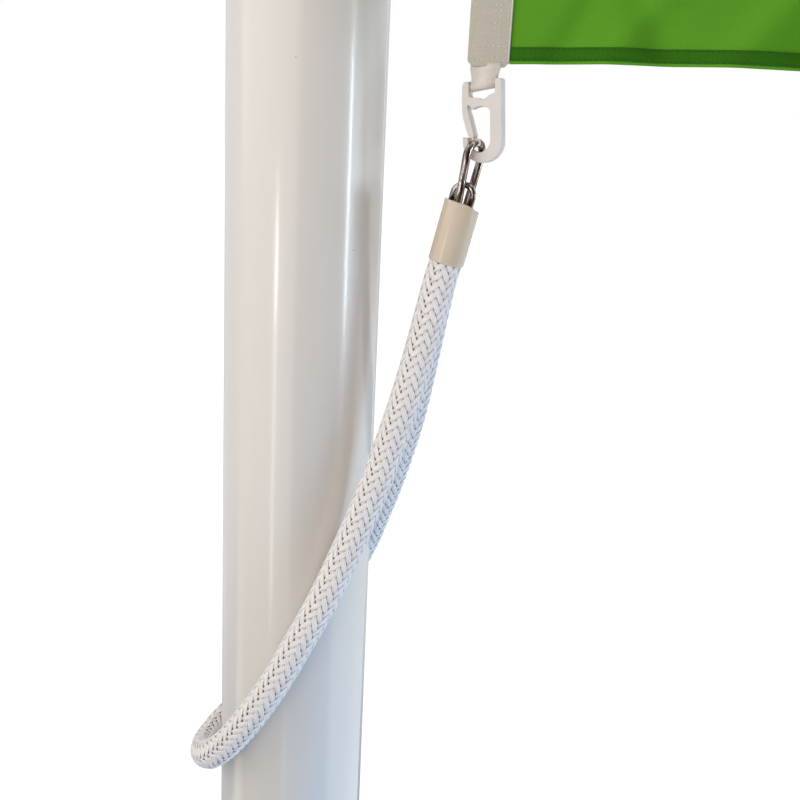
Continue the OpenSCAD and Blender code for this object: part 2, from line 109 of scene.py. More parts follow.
def stretch(tree, value, low, high, to_low=0.0, to_high=1.0):
    """A value moved from one range to another, and kept inside it."""
    inputs = {0: value, 1: low, 2: high, 3: to_low, 4: to_high}
    return add_node(tree, "ShaderNodeMapRange", inputs).outputs[0]


def noise(tree, place, scale, detail=3.0):
    """Smooth noise about 0.5."""
    inputs = {"Vector": place, "Scale": scale, "Detail": detail}
    return add_node(tree, "ShaderNodeTexNoise", inputs).outputs[0]


def drawn_out(tree, place, scale):
    """A place scaled by its own amount along each axis."""
    return add_node(tree, "ShaderNodeMapping", {0: place, 3: scale}).outputs[0]


def new_group(name, inputs, outputs):
    """An empty shader group that takes a place and some values, and gives out values."""
    group = bpy.data.node_groups.new(name, "ShaderNodeTree")
    group.interface.new_socket("Place", in_out="INPUT", socket_type="NodeSocketVector")
    for key, value in inputs.items():
        group.interface.new_socket(key, in_out="INPUT", socket_type="NodeSocketFloat").default_value = value
    for key in outputs:
        group.interface.new_socket(key, in_out="OUTPUT", socket_type="NodeSocketFloat")
    return group, group.nodes.new("NodeGroupInput").outputs, group.nodes.new("NodeGroupOutput").inputs


# How fast a thread's thickness changes from one thread to the next, and along a thread
SLUB_ACROSS = 1500.0
SLUB_ALONG = 40.0


def weave_group():
    """Plain weave in the XZ plane: threads that rise and dip by turns, some thicker than others."""
    tree, given, result = new_group("plain_weave", {"Pitch": 0.0006}, ["Height", "Slub"])
    axes = add_node(tree, "ShaderNodeSeparateXYZ", {0: given["Place"]}).outputs
    waves = []
    for axis in "XZ":
        turns = calc(tree, "DIVIDE", calc(tree, "MULTIPLY", axes[axis], math.pi), given["Pitch"])
        waves.append(calc(tree, "SINE", turns))
    tree.links.new(stretch(tree, calc(tree, "MULTIPLY", *waves), -1.0, 1.0), result["Height"])
    warp = noise(tree, drawn_out(tree, given["Place"], (SLUB_ACROSS, 1.0, SLUB_ALONG)), 1.0)
    weft = noise(tree, drawn_out(tree, given["Place"], (SLUB_ALONG, 1.0, SLUB_ACROSS)), 1.0)
    tree.links.new(calc(tree, "MULTIPLY", calc(tree, "ADD", warp, weft), 0.5), result["Slub"])
    return tree


# How many times finer a finish's grain is than its clouds
GRAIN_FINENESS = 14.0


def mottle_group():
    """Cloudy unevenness at a large and a small scale."""
    tree, given, result = new_group("mottle", {"Scale": 20.0}, ["Cloud", "Grain"])
    tree.links.new(noise(tree, given["Place"], given["Scale"]), result["Cloud"])
    fine = calc(tree, "MULTIPLY", given["Scale"], GRAIN_FINENESS)
    tree.links.new(noise(tree, given["Place"], fine), result["Grain"])
    return tree


# Scuffs: how fine the scratches are along each axis, and the scales of the worn patches and the specks
SCRATCH_FINENESS = (420.0, 420.0, 9.0)
WEAR_SCALE = 7.0
SPECK_SCALE = 95.0


def scuff_group():
    """Fine scratches drawn out along Z in worn patches, and a few small specks."""
    tree, given, result = new_group("scuffs", {"Cover": 0.4}, ["Scratch", "Speck"])
    lines = noise(tree, drawn_out(tree, given["Place"], SCRATCH_FINENESS), 1.0)
    worn = stretch(tree, noise(tree, given["Place"], WEAR_SCALE), 0.5, 0.7)
    thin = stretch(tree, lines, 0.66, 0.74)
    scratch = calc(tree, "MULTIPLY", worn, thin)
    tree.links.new(calc(tree, "MULTIPLY", scratch, given["Cover"]), result["Scratch"])
    cells = add_node(tree, "ShaderNodeTexVoronoi", {"Vector": given["Place"], "Scale": SPECK_SCALE}).outputs
    dots = stretch(tree, cells["Distance"], 0.06, 0.03)
    draw = add_node(tree, "ShaderNodeSeparateColor", {0: cells["Color"]}).outputs[0]
    few = stretch(tree, draw, 0.86, 0.9)
    speck = calc(tree, "MULTIPLY", dots, few)
    tree.links.new(calc(tree, "MULTIPLY", speck, given["Cover"]), result["Speck"])
    return tree


WEAVE = weave_group()
MOTTLE = mottle_group()
SCUFFS = scuff_group()


class Finish:
    """A material whose shader is fed by the shared groups."""

    def __init__(self, name, **constants):
        self.material = bpy.data.materials.new(name)
        self.material.use_nodes = True
        self.tree = self.material.node_tree
        self.shader = self.tree.nodes["Principled BSDF"]
        self.place = add_node(self.tree, "ShaderNodeTexCoord").outputs["Object"]
        for key, value in constants.items():
            self.shader.inputs[key.replace("_", " ")].default_value = value

    def group(self, tree, **values):
        """The outputs of a shared group with its own values here."""
        inputs = {"Place": self.place, **values}
        return add_node(self.tree, "ShaderNodeGroup", inputs, node_tree=tree).outputs

    def feed(self, name, socket):
        """Links a socket to one of the shader's inputs."""
        self.tree.links.new(socket, self.shader.inputs[name])

    def colours(self, share, first, second):
        """The base colour, mixed from two by a share that changes over the surface."""
        self.feed("Base Color", colour_mix(self.tree, share, (*first, 1.0), (*second, 1.0)))

    def rough(self, value, low, high):
        """Roughness between two values, by a value about 0.5."""
        self.feed("Roughness", stretch(self.tree, value, 0.3, 0.7, low, high))

    def bump(self, height, depth):
        """Relief of a depth in metres."""
        inputs = {"Height": height, "Distance": depth, "Strength": 1.0}
        self.feed("Normal", add_node(self.tree, "ShaderNodeBump", inputs).outputs[0])


def gel_coat():
    """Glossy white coat of the shaft and the head."""
    coat = Finish("white_gel_coat", Coat_Weight=1.0, Coat_IOR=1.55, Coat_Roughness=0.15)
    mottle = coat.group(MOTTLE, Scale=9.0)
    scuffs = coat.group(SCUFFS, Cover=0.8)
    clean = colour_mix(coat.tree, mottle["Cloud"], (0.745, 0.705, 0.652, 1.0), (0.71, 0.669, 0.616, 1.0))
    coat.feed("Base Color", colour_mix(coat.tree, scuffs["Speck"], clean, (0.35, 0.32, 0.28, 1.0)))
    coat.rough(mottle["Cloud"], 0.30, 0.38)
    coat.bump(calc(coat.tree, "SUBTRACT", mottle["Cloud"], scuffs["Scratch"]), 0.00006)
    return coat.material


def zinc():
    """Hot-dip zinc with its spangle."""
    coat = Finish("dull_zinc", Metallic=0.85)
    cells = add_node(coat.tree, "ShaderNodeTexVoronoi", {"Vector": coat.place, "Scale": 130.0}).outputs
    spangle = add_node(coat.tree, "ShaderNodeSeparateColor", {0: cells["Color"]}).outputs[0]
    mottle = coat.group(MOTTLE, Scale=25.0)
    coat.colours(spangle, (0.46, 0.48, 0.50), (0.64, 0.66, 0.68))
    coat.rough(mottle["Cloud"], 0.38, 0.58)
    coat.bump(mottle["Grain"], 0.0002)
    return coat.material


def rubber():
    """Matt black moulded rubber."""
    skin = Finish("black_rubber")
    mottle = skin.group(MOTTLE, Scale=40.0)
    skin.colours(mottle["Cloud"], (0.028, 0.028, 0.03), (0.055, 0.054, 0.052))
    skin.rough(mottle["Cloud"], 0.55, 0.75)
    skin.bump(mottle["Grain"], 0.0002)
    return skin.material


# How fine a metal's drawn lines are along each axis: the arm's lie along X, and the wire's dark streaks,
# partly stains and partly painted reflection, along Z
ARM_LINES = (6.0, 900.0, 900.0)
WIRE_STAINS_AND_REFLECTION = (430.0, 430.0, 28.0)


def satin_aluminium():
    """Anodised tube and turned fittings, with fine lines along X."""
    metal = Finish("satin_aluminium", Metallic=1.0)
    lines = noise(metal.tree, drawn_out(metal.tree, metal.place, ARM_LINES), 1.0)
    metal.colours(lines, (0.66, 0.67, 0.68), (0.78, 0.79, 0.80))
    metal.rough(lines, 0.28, 0.42)
    metal.bump(lines, 0.00003)
    return metal.material


def polished_steel():
    """Bright wire with fine rub marks, and dark brown streaks drawn out along it that are partly stains and
    partly painted reflection of dark surroundings.
    """
    wire = Finish("polished_wire", Metallic=1.0)
    mottle = wire.group(MOTTLE, Scale=90.0)
    # Painted reflection: the dark brown streaks stand partly for dark surroundings mirrored in the wire,
    # partly for stains
    streaks = noise(wire.tree, drawn_out(wire.tree, wire.place, WIRE_STAINS_AND_REFLECTION), 1.0, 1.0)
    stain_and_reflection = stretch(wire.tree, streaks, 0.42, 0.58)
    wire.colours(stain_and_reflection, (0.56, 0.52, 0.49), (0.10, 0.070, 0.058))
    wire.rough(mottle["Cloud"], 0.06, 0.12)
    wire.bump(mottle["Grain"], 0.00002)
    return wire.material


def moulded_plastic(name, pale, dark, smooth, dull, scale, coat):
    """Satin moulding with faint flow marks."""
    skin = Finish(
        name, Subsurface_Weight=0.08, Subsurface_Radius=(0.004, 0.003, 0.002), Subsurface_Scale=1.0,
        Coat_Weight=coat, Coat_Roughness=0.12
    )
    mottle = skin.group(MOTTLE, Scale=scale)
    skin.colours(mottle["Cloud"], pale, dark)
    skin.rough(mottle["Cloud"], smooth, dull)
    skin.bump(mottle["Grain"], 0.00004)
    return skin.material


# The section of a ribbon has four hollows and crests in a turn of its map, with shade painted grey in the
# hollows
YARN_TURN = 8 * math.pi
# Where the map has the middle of a ribbon's face, and how far off it painted shade darkens the ribbon's edge
YARN_MIDDLE = 0.375
YARN_EDGE_SHADE = (0.29, 0.36)


def yarn():
    """White plaited yarn: fine filaments, with shade painted grey into the hollows between a ribbon's yarns
    and along its edges.
    """
    thread = Finish("white_yarn", Specular_IOR_Level=0.3)
    uv = add_node(thread.tree, "ShaderNodeUVMap", uv_map="ribbon").outputs[0]
    filament = noise(thread.tree, drawn_out(thread.tree, uv, (60.0, 260.0, 1.0)), 1.0)
    across = add_node(thread.tree, "ShaderNodeSeparateXYZ", {0: uv}).outputs["X"]
    wave = calc(thread.tree, "COSINE", calc(thread.tree, "MULTIPLY", across, YARN_TURN))
    # Painted shade: grey in the hollows between the yarns
    lines = colour_mix(
        thread.tree, stretch(thread.tree, wave, 0.5, 1.0), (0.99, 0.96, 0.945, 1.0), (0.75, 0.70, 0.68, 1.0)
    )
    # Painted shade: darker along each ribbon's edges, where the ribbons meet
    off = calc(thread.tree, "ABSOLUTE", calc(thread.tree, "SUBTRACT", across, YARN_MIDDLE))
    edge = stretch(thread.tree, off, *YARN_EDGE_SHADE)
    thread.feed("Base Color", colour_mix(thread.tree, edge, lines, (0.68, 0.63, 0.61, 1.0)))
    thread.rough(filament, 0.6, 0.8)
    thread.bump(filament, 0.0002)
    return thread.material


def woven(name, pale, dark, pitch, depth, sheen):
    """Plain woven cloth or tape."""
    cloth = Finish(name, Sheen_Weight=sheen, Sheen_Roughness=0.4, Specular_IOR_Level=0.15)
    weave = cloth.group(WEAVE, Pitch=pitch)
    cloth.colours(stretch(cloth.tree, weave["Slub"], 0.2, 0.8), pale, dark)
    cloth.rough(weave["Slub"], 0.62, 0.82)
    height = calc(cloth.tree, "ADD", weave["Height"], weave["Slub"])
    cloth.bump(height, depth)
    return cloth.material


def plain_thread(name, pale, dark):
    """Sewing thread, and the dark inner core, whose colour also stands in for shade in the braid's gaps."""
    thread = Finish(name)
    mottle = thread.group(MOTTLE, Scale=300.0)
    thread.colours(mottle["Cloud"], pale, dark)
    thread.rough(mottle["Cloud"], 0.6, 0.85)
    return thread.material


GEL_COAT = gel_coat()
ZINC = zinc()
RUBBER = rubber()
ALUMINIUM = satin_aluminium()
STEEL = polished_steel()
CLIP_PLASTIC = moulded_plastic(
    "cream_moulding", (0.75, 0.708, 0.665), (0.704, 0.658, 0.615),
    smooth=0.34, dull=0.46, scale=60.0, coat=0.0,
)
IVORY = moulded_plastic(
    "ivory_moulding", (0.66, 0.56, 0.43), (0.605, 0.497, 0.367),
    smooth=0.30, dull=0.38, scale=45.0, coat=0.7,
)
YARN = yarn()
# The core's dark colour is partly painted shade: it stands for the shade in the braid's gaps, where it shows
CORE_AND_GAP_SHADE = plain_thread("dark_core_and_gap_shade", (0.20, 0.165, 0.15), (0.13, 0.105, 0.095))
CANVAS = woven(
    "beige_canvas", (0.603, 0.566, 0.48), (0.52, 0.482, 0.388), pitch=0.0007, depth=0.00012, sheen=0.1
)
WEBBING = woven(
    "pale_webbing", (0.80, 0.743, 0.677), (0.735, 0.68, 0.612), pitch=0.0005, depth=0.00005, sheen=0.15
)
FLAG_GREEN = woven(
    "green_polyester", (0.106, 0.348, 0.0135), (0.095, 0.318, 0.012), pitch=0.00045, depth=0.00003, sheen=0.0
)
HEM_GREEN = woven(
    "dark_green_hem", (0.031, 0.16, 0.0003), (0.024, 0.136, 0.0003), pitch=0.00045, depth=0.00004, sheen=0.0
)
TAPE_THREAD = plain_thread("tape_thread", (0.76, 0.73, 0.66), (0.62, 0.58, 0.51))
# Darker than the hem: partly the thread's own green, partly painted shade of the stitch dimples
GREEN_THREAD_AND_DIMPLE_SHADE = plain_thread("green_thread_and_dimple_shade", (0.03, 0.12, 0.004), (0.018, 0.08, 0.003))


# Pieces


def finished(bm, name, body, materials, stood_for=()):
    """Makes a bmesh a piece that rides on a body and takes its finish from a slot."""
    mesh = bpy.data.meshes.new(name)
    bm.to_mesh(mesh)
    bm.free()
    mesh.shade_smooth()
    for material in materials:
        mesh.materials.append(material)
    piece = bpy.data.objects.new(name, mesh)
    bpy.context.scene.collection.objects.link(piece)
    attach(piece, body)
    if stood_for:
        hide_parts(*stood_for)
    return piece


def thicken(piece, thickness):
    """Gives a sheet its thickness, half on each side."""
    wall = piece.modifiers.new("thickness", "SOLIDIFY")
    wall.thickness = thickness
    wall.offset = 0.0


def ease(piece, edge):
    """Rounds a piece's sharp edges by a width."""
    eased = piece.modifiers.new("eased_edges", "BEVEL")
    eased.width = edge
    eased.segments = 2
    eased.limit_method = "ANGLE"
    eased.angle_limit = math.radians(35.0)
    even = piece.modifiers.new("even_shading", "WEIGHTED_NORMAL")
    even.keep_sharp = False


def dress(name, material, edge):
    """Gives a solid piece its finish, and eases its sharp edges by a width if that isn't 0."""
    piece = nodes[name]
    piece.data.materials.clear()
    piece.data.materials.append(material)
    if edge:
        joined = piece.modifiers.new("joined", "WELD")
        joined.merge_threshold = 1e-5
        ease(piece, edge)


def straight_tube(bm, sides, rings):
    """A tube of radius 1 along Z from 0 to 1, with even rings. Gives its vertices."""
    first = len(bm.verts)
    place = Matrix.Translation((0.0, 0.0, 0.5))
    made = bmesh.ops.create_cone(
        bm, cap_ends=True, segments=sides, radius1=1.0, radius2=1.0, depth=1.0, matrix=place
    )["verts"]
    ends = set(made)
    long_edges = [e for e in bm.edges if ends.issuperset(e.verts) and e.verts[0].co.z != e.verts[1].co.z]
    bmesh.ops.subdivide_edges(bm, edges=long_edges, cuts=rings - 1)
    bm.verts.ensure_lookup_table()
    return bm.verts[first:]


# Rope: a braided loop filled with shot, from the ferrule round the shaft and back.
# Each point of the front half is x, y and the drop below the flag's lower edge.
ROPE_FRONT = [
    (0.095, -0.0107, 0.117), (0.0916, -0.0112, 0.130), (0.0874, -0.0132, 0.152), (0.0826, -0.0168, 0.178),
    (0.077, -0.0215, 0.206), (0.071, -0.026, 0.232), (0.064, -0.0315, 0.258), (0.056, -0.0375, 0.284),
    (0.047, -0.0445, 0.310), (0.037, -0.052, 0.337), (0.024, -0.0595, 0.366), (0.008, -0.0635, 0.399),
    (-0.009, -0.0635, 0.428), (-0.026, -0.0585, 0.453), (-0.042, -0.0485, 0.472), (-0.055, -0.033, 0.484),
    (-0.062, -0.016, 0.490), (-0.064, 0.0, 0.492),
]
ROPE_STEP = 0.001
ROPE_SPAN_STEPS = 30
ROPE_TUCK = 0.006
CORE_RADIUS = 0.0066
CORE_SIDES = 16
FERRULE_LEAN = math.radians(12.5)
FERRULE_TURN = math.radians(8.0)
FERRULE_FOOT = Vector((ROPE_FRONT[0][0], 0.0, FLAG_LOW.z - ROPE_FRONT[0][2]))
FERRULE_WAY = Matrix.Rotation(FERRULE_LEAN, 3, "Y") @ Matrix.Rotation(FERRULE_TURN, 3, "Z")
FERRULE_AXIS = FERRULE_WAY @ Vector((0.0, 0.0, 1.0))
# The drop over which the rope's two ends turn back from the ferrule's turn
TURN_FADE = 0.110

# Braid: as many ribbons each way, each over two and under two
CARRIERS = 12
BRAID_LAY = 0.0846
RIBBON_WIDTH = 0.0039
RIBBON_THICK = 0.0016
RIBBON_MID = 0.0091
RIBBON_RISE = 0.0005
RIBBON_RING = 0.00195
BRAID_SHARPNESS = 1.5
# How much a ribbon of each hand narrows where it dives at one end of a float, and at the other end
DIVE_NARROW = {1: 0.62, -1: 0.2}
RISE_NARROW = 0.15
# One ribbon's section, as shares of half its width and half its thickness: three yarns side by side
RIBBON_SECTION = [
    (1.0, 0.1), (0.68, 0.85), (0.34, 0.66), (0.0, 1.0), (-0.34, 0.66), (-0.68, 0.85), (-1.0, 0.1),
    (0.0, -0.8),
]


class CordLine:
    """A smooth line through a cord's points, with a frame that is carried along it without twisting."""

    def __init__(self, points, step):
        ends = [points[0] * 2 - points[1], *points, points[-1] * 2 - points[-2]]
        known = np.array([tuple(p) for p in ends])
        share = np.linspace(0.0, 1.0, ROPE_SPAN_STEPS, endpoint=False)[:, None]
        spans = []
        for a, b, c, d in zip(known, known[1:], known[2:], known[3:]):
            bend = (2 * a - 5 * b + 4 * c - d) * share**2 + (3 * b - a - 3 * c + d) * share**3
            spans.append(b + 0.5 * ((c - a) * share + bend))
        line = np.vstack([*spans, known[-2:-1]])
        run = np.concatenate([[0.0], np.cumsum(np.linalg.norm(np.diff(line, axis=0), axis=1))])
        self.length = float(run[-1])
        self.run = np.linspace(0.0, self.length, round(self.length / step) + 1)
        self.line = np.column_stack([np.interp(self.run, run, line[:, k]) for k in range(3)])
        ahead = np.gradient(self.line, axis=0)
        ahead /= np.linalg.norm(ahead, axis=1)[:, None]
        spoke = np.array([0.0, -1.0, 0.0])
        spokes = []
        for run_way in ahead:
            spoke = spoke - (spoke @ run_way) * run_way
            spoke = spoke / np.linalg.norm(spoke)
            spokes.append(spoke)
        self.out = np.array(spokes)
        self.side = np.cross(ahead, self.out)

    def at(self, along, angle, radius):
        """Points at distances along the line, turned about it, away from it."""
        parts = []
        for k in range(3):
            middle = np.interp(along, self.run, self.line[:, k])
            out = np.interp(along, self.run, self.out[:, k])
            side = np.interp(along, self.run, self.side[:, k])
            parts.append(middle + radius * (np.cos(angle) * out + np.sin(angle) * side))
        return np.column_stack(parts)


def rope_points():
    """The whole loop: the front half and its mirror image behind, turned with the ferrule at their ends."""
    across = Vector((0.0, 1.0, 0.0))
    turned_way = FERRULE_WAY @ across
    loop = []
    for side, half in ((1.0, ROPE_FRONT), (-1.0, ROPE_FRONT[-2::-1])):
        for x, y, drop in half:
            share = max(0.0, 1.0 - (drop - ROPE_FRONT[0][2]) / TURN_FADE)
            loop.append(Vector((x, 0.0, FLAG_LOW.z - drop)) + side * y * across.lerp(turned_way, share))
    tuck = FERRULE_AXIS * ROPE_TUCK
    return [loop[0] + tuck, *loop, loop[-1] + tuck]


def lay_ribbon(bm, uv_layer, cord, strand, hand):
    """Lays one ribbon of the braid round the rope, over two ribbons and under two by turns."""
    sides = len(RIBBON_SECTION)
    verts = straight_tube(bm, sides, round(cord.length / RIBBON_RING))
    straight = np.array([v.co for v in verts])
    corner = np.round(np.arctan2(straight[:, 1], straight[:, 0]) * sides / math.tau).astype(int) % sides
    section = np.array(RIBBON_SECTION)[corner]
    along = straight[:, 2] * cord.length
    crossing = 2 * CARRIERS * along / BRAID_LAY
    phase = math.pi / 2 * (2 * strand + hand * crossing - 0.5)
    over = hand * np.tanh(BRAID_SHARPNESS * np.cos(phase)) / math.tanh(BRAID_SHARPNESS)
    dive = DIVE_NARROW[hand] * (0.5 + 0.5 * np.sin(phase)) ** 4
    rise = RISE_NARROW * (0.5 - 0.5 * np.sin(phase)) ** 4
    radius = RIBBON_MID + RIBBON_RISE * over
    slant = math.atan(math.tau * RIBBON_MID / BRAID_LAY)
    across = section[:, 0] * RIBBON_WIDTH / 2 * (1.0 - dive - rise)
    angle = math.tau * (strand / CARRIERS + hand * along / BRAID_LAY) + across * math.cos(slant) / radius
    height = section[:, 1] * RIBBON_THICK / 2
    places = cord.at(along - hand * across * math.sin(slant), angle, radius + height)
    marks = {}
    for vert, place, k, run in zip(verts, places, corner, along):
        vert.co = place
        marks[vert] = (int(k), float(run))
    for face in {f for v in verts for f in v.link_faces}:
        wraps = {marks[v][0] for v in face.verts} >= {0, sides - 1}
        for loop in face.loops:
            k, run = marks[loop.vert]
            loop[uv_layer].uv = ((sides if wraps and k == 0 else k) / sides, run)


def weight_rope():
    """The braided rope with its dark core, whose colour also stands in for shade in the braid's gaps."""
    cord = CordLine(rope_points(), ROPE_STEP)
    bm = bmesh.new()
    uv_layer = bm.loops.layers.uv.new("ribbon")
    for hand in (1, -1):
        for strand in range(CARRIERS):
            lay_ribbon(bm, uv_layer, cord, strand, hand)
    braided = len(bm.faces)
    core = straight_tube(bm, CORE_SIDES, round(cord.length / (4 * RIBBON_RING)))
    shape = np.array([v.co for v in core])
    angle = np.arctan2(shape[:, 1], shape[:, 0])
    for vert, place in zip(core, cord.at(shape[:, 2] * cord.length, angle, CORE_RADIUS)):
        vert.co = place
    bm.faces.ensure_lookup_table()
    for face in bm.faces[braided:]:
        face.material_index = 1
    bmesh.ops.recalc_face_normals(bm, faces=bm.faces)
    rope = finished(bm, "braided_rope_loop", "banner", [YARN, CORE_AND_GAP_SHADE], ["weight_rope"])
    return rope


# Link: where its narrow bow hangs, how it leans and turns, its wire, and its two bows
LINK_X = 0.1018
LINK_DROP = 0.0862
LINK_SEAT = Vector((LINK_X, 0.0, FLAG_LOW.z - LINK_DROP))
LINK_LEAN = math.radians(10.4)
LINK_TURN = math.radians(66.0)
LINK_WIRE = 0.005
LINK_TOP_R = 0.008
LINK_TOP_STEPS = 28
LINK_END_R = 0.005
LINK_END_STEPS = 20
LINK_REACH = 0.0284
WIRE_SIDES = 20
# The link's butt joint: a step of its groove, the share of wire left in it, and the share of leg beside it
JOINT_STEP = 0.0003
JOINT_NECK = 0.93
JOINT_GUARD = 0.02


def ring_on(bm, edges, move, scale=1.0):
    """Draws a ring of wire on by a move, and scales its new end about the middle."""
    made = bmesh.ops.extrude_edge_only(bm, edges=edges)["geom"]
    verts = [g for g in made if isinstance(g, bmesh.types.BMVert)]
    bmesh.ops.translate(bm, verts=verts, vec=move)
    middle = sum((v.co for v in verts), Vector()) / len(verts)
    bmesh.ops.scale(bm, verts=verts, vec=(scale,) * 3, space=Matrix.Translation(-middle))
    fresh = set(verts)
    return [g for g in made if isinstance(g, bmesh.types.BMEdge) and fresh.issuperset(g.verts)]


def bend_on(bm, edges, middle, angle, steps):
    """Bends a ring of wire on round a middle in the XZ plane."""
    verts = list(dict.fromkeys(v for e in edges for v in e.verts))
    made = bmesh.ops.spin(
        bm, geom=[*verts, *edges], cent=middle, axis=(0.0, -1.0, 0.0), angle=angle, steps=steps
    )["geom_last"]
    return [g for g in made if isinstance(g, bmesh.types.BMEdge)]


def pear_link():
    """The pear-shaped link: a wide bow, a leg with its butt joint, a narrow bow and a plain leg."""
    bm = bmesh.new()
    flare = math.asin((LINK_TOP_R - LINK_END_R) / LINK_REACH)
    wide = Vector((0.0, 0.0, LINK_END_R + LINK_REACH))
    narrow = Vector((0.0, 0.0, LINK_END_R))
    side = Matrix.Translation((LINK_TOP_R, 0.0, 0.0))
    start = Matrix.Translation(wide) @ Matrix.Rotation(flare, 4, "Y") @ side
    bmesh.ops.create_circle(bm, segments=WIRE_SIDES, radius=LINK_WIRE / 2, matrix=start)
    first = list(bm.edges)
    ring = bend_on(bm, first, wide, math.pi + 2 * flare, LINK_TOP_STEPS)
    out = Vector((math.cos(math.pi + flare), 0.0, math.sin(math.pi + flare)))
    leg = narrow + out * LINK_END_R - wide - out * LINK_TOP_R
    step = leg.normalized() * JOINT_STEP
    guard = leg * JOINT_GUARD
    groove = ((step, JOINT_NECK), (step, 1.0), (step, 1.0 / JOINT_NECK))
    for move, scale in ((leg * 0.5 - guard, 1.0), (guard, 1.0), *groove, (guard, 1.0)):
        ring = ring_on(bm, ring, move, scale)
    ring = ring_on(bm, ring, leg * 0.5 - step * len(groove) - guard)
    ring = bend_on(bm, ring, narrow, math.pi - 2 * flare, LINK_END_STEPS)
    bmesh.ops.bridge_loops(bm, edges=ring + first)
    bmesh.ops.recalc_face_normals(bm, faces=bm.faces)
    turn = Matrix.Rotation(LINK_LEAN, 4, "Y") @ Matrix.Rotation(LINK_TURN, 4, "Z")
    bmesh.ops.transform(bm, verts=bm.verts, matrix=Matrix.Translation(LINK_SEAT) @ turn)
    return finished(bm, "pear_link_wire", "banner", [STEEL], ["pear_link"])


# Ferrule: its block, corners, wall and rim, and the open pocket in its top
FERRULE_SIZE = Vector((0.0225, 0.044, 0.038))
FERRULE_CORNER = 0.0095
FERRULE_CORNER_STEPS = 12
FERRULE_WALL = 0.0016
FERRULE_RIM = 0.0008
FERRULE_RIM_STEPS = 5
FERRULE_POCKET = 0.014
# How far its top falls to the rear, between which shares of its depth, and how far its right shoulder falls
FERRULE_FALL = 0.005
FERRULE_FALL_RUN = (-0.25, 0.5)
FERRULE_SHOULDER = 0.0036
# Edges bent by more than this are rims
SHARP_ANGLE = math.radians(60.0)


def rope_ferrule():
    """The ivory ferrule: a rounded block with an open pocket in its top."""
    bm = bmesh.new()
    place = Matrix.Translation((0.0, 0.0, FERRULE_SIZE.z / 2)) @ Matrix.Diagonal((*FERRULE_SIZE, 1.0))
    bmesh.ops.create_cube(bm, size=1.0, matrix=place)
    upright = [e for e in bm.edges if abs(e.verts[0].co.z - e.verts[1].co.z) > FERRULE_SIZE.z / 2]
    bmesh.ops.bevel(
        bm, geom=upright, offset=FERRULE_CORNER, affect="EDGES", segments=FERRULE_CORNER_STEPS, profile=0.5,
        material=-1,
    )
    top = max(bm.faces, key=lambda f: f.calc_center_median().z)
    bmesh.ops.inset_region(bm, faces=[top], thickness=FERRULE_WALL, use_even_offset=True)
    pocket = bmesh.ops.extrude_face_region(bm, geom=[top])["geom"]
    floor = [g for g in pocket if isinstance(g, bmesh.types.BMVert)]
    bmesh.ops.translate(bm, verts=floor, vec=(0.0, 0.0, -FERRULE_POCKET))
    bmesh.ops.delete(bm, geom=[f for f in [top] if f.is_valid], context="FACES_ONLY")
    level = [e for e in bm.edges if e.verts[0].co.z == e.verts[1].co.z]
    rims = [e for e in level if len(e.link_faces) == 2 and e.calc_face_angle(0.0) > SHARP_ANGLE]
    bmesh.ops.bevel(
        bm, geom=rims, offset=FERRULE_RIM, affect="EDGES", segments=FERRULE_RIM_STEPS, profile=0.5,
        material=-1, clamp_overlap=True,
    )
    bmesh.ops.recalc_face_normals(bm, faces=bm.faces)
    first, last = FERRULE_FALL_RUN
    for vert in bm.verts:
        if vert.co.z > FERRULE_SIZE.z / 2:
            rear = (vert.co.y / FERRULE_SIZE.y - first) / (last - first)
            right = 2 * vert.co.x / FERRULE_SIZE.x
            vert.co.z -= FERRULE_FALL * min(1.0, max(0.0, rear))
            vert.co.z -= FERRULE_SHOULDER * max(0.0, right) ** 2
    bmesh.ops.transform(bm, verts=bm.verts, matrix=Matrix.Translation(FERRULE_FOOT) @ FERRULE_WAY.to_4x4())
    return finished(bm, "ivory_ferrule", "banner", [IVORY], ["weight_ferrule"])


# Eye: its wire and bend, how far it rises above the ferrule, and how far it stands beside the middle
EYE_WIRE = 0.004
EYE_R = 0.0063
EYE_STEPS = 24
EYE_RISE = 0.011
EYE_SHIFT = -0.0013


def steel_eye():
    """The steel eye: a bent wire that stands in the ferrule's open top, square to the flag."""
    bm = bmesh.new()
    leg = Vector((0.0, 0.0, EYE_RISE + FERRULE_POCKET - EYE_WIRE / 2 - EYE_R))
    start = Matrix.Translation((EYE_R, 0.0, 0.0))
    bmesh.ops.create_circle(bm, segments=WIRE_SIDES, radius=EYE_WIRE / 2, matrix=start)
    foot = list(bm.edges)
    ring = bend_on(bm, ring_on(bm, foot, leg), leg, math.pi, EYE_STEPS)
    end = ring_on(bm, ring, -leg)
    bmesh.ops.holes_fill(bm, edges=foot + end)
    bmesh.ops.recalc_face_normals(bm, faces=bm.faces)
    seat = Matrix.Translation((EYE_SHIFT, 0.0, FERRULE_SIZE.z - FERRULE_POCKET))
    square = Matrix.Rotation(-FERRULE_TURN, 4, "Z")
    place = Matrix.Translation(FERRULE_FOOT) @ FERRULE_WAY.to_4x4() @ seat @ square
    bmesh.ops.transform(bm, verts=bm.verts, matrix=place)
    return finished(bm, "eye_wire", "banner", [STEEL], ["weight_eye"])


# Clip: the place of its bar below the tape's end, and how it hangs there
CLIP_SHIFT = -0.002
CLIP_DROP = 0.010
CLIP_BAR = Vector(((TAPE_LOW.x + TAPE_HIGH.x) / 2 + CLIP_SHIFT, 0.0, TAPE_LOW.z - CLIP_DROP))
CLIP_TURN = math.radians(-12.0)
CLIP_TILT = math.radians(5.0)
CLIP_DEPTH = 0.007
CLIP_TOP = 0.00275
CLIP_EDGE = 0.0006
BAR_R = 0.0017
BAR_LENGTH = 0.021
BAR_SIDES = 24
# How far the bar, and the strap round it, rises to the right in each metre
BAR_SLANT = 0.12
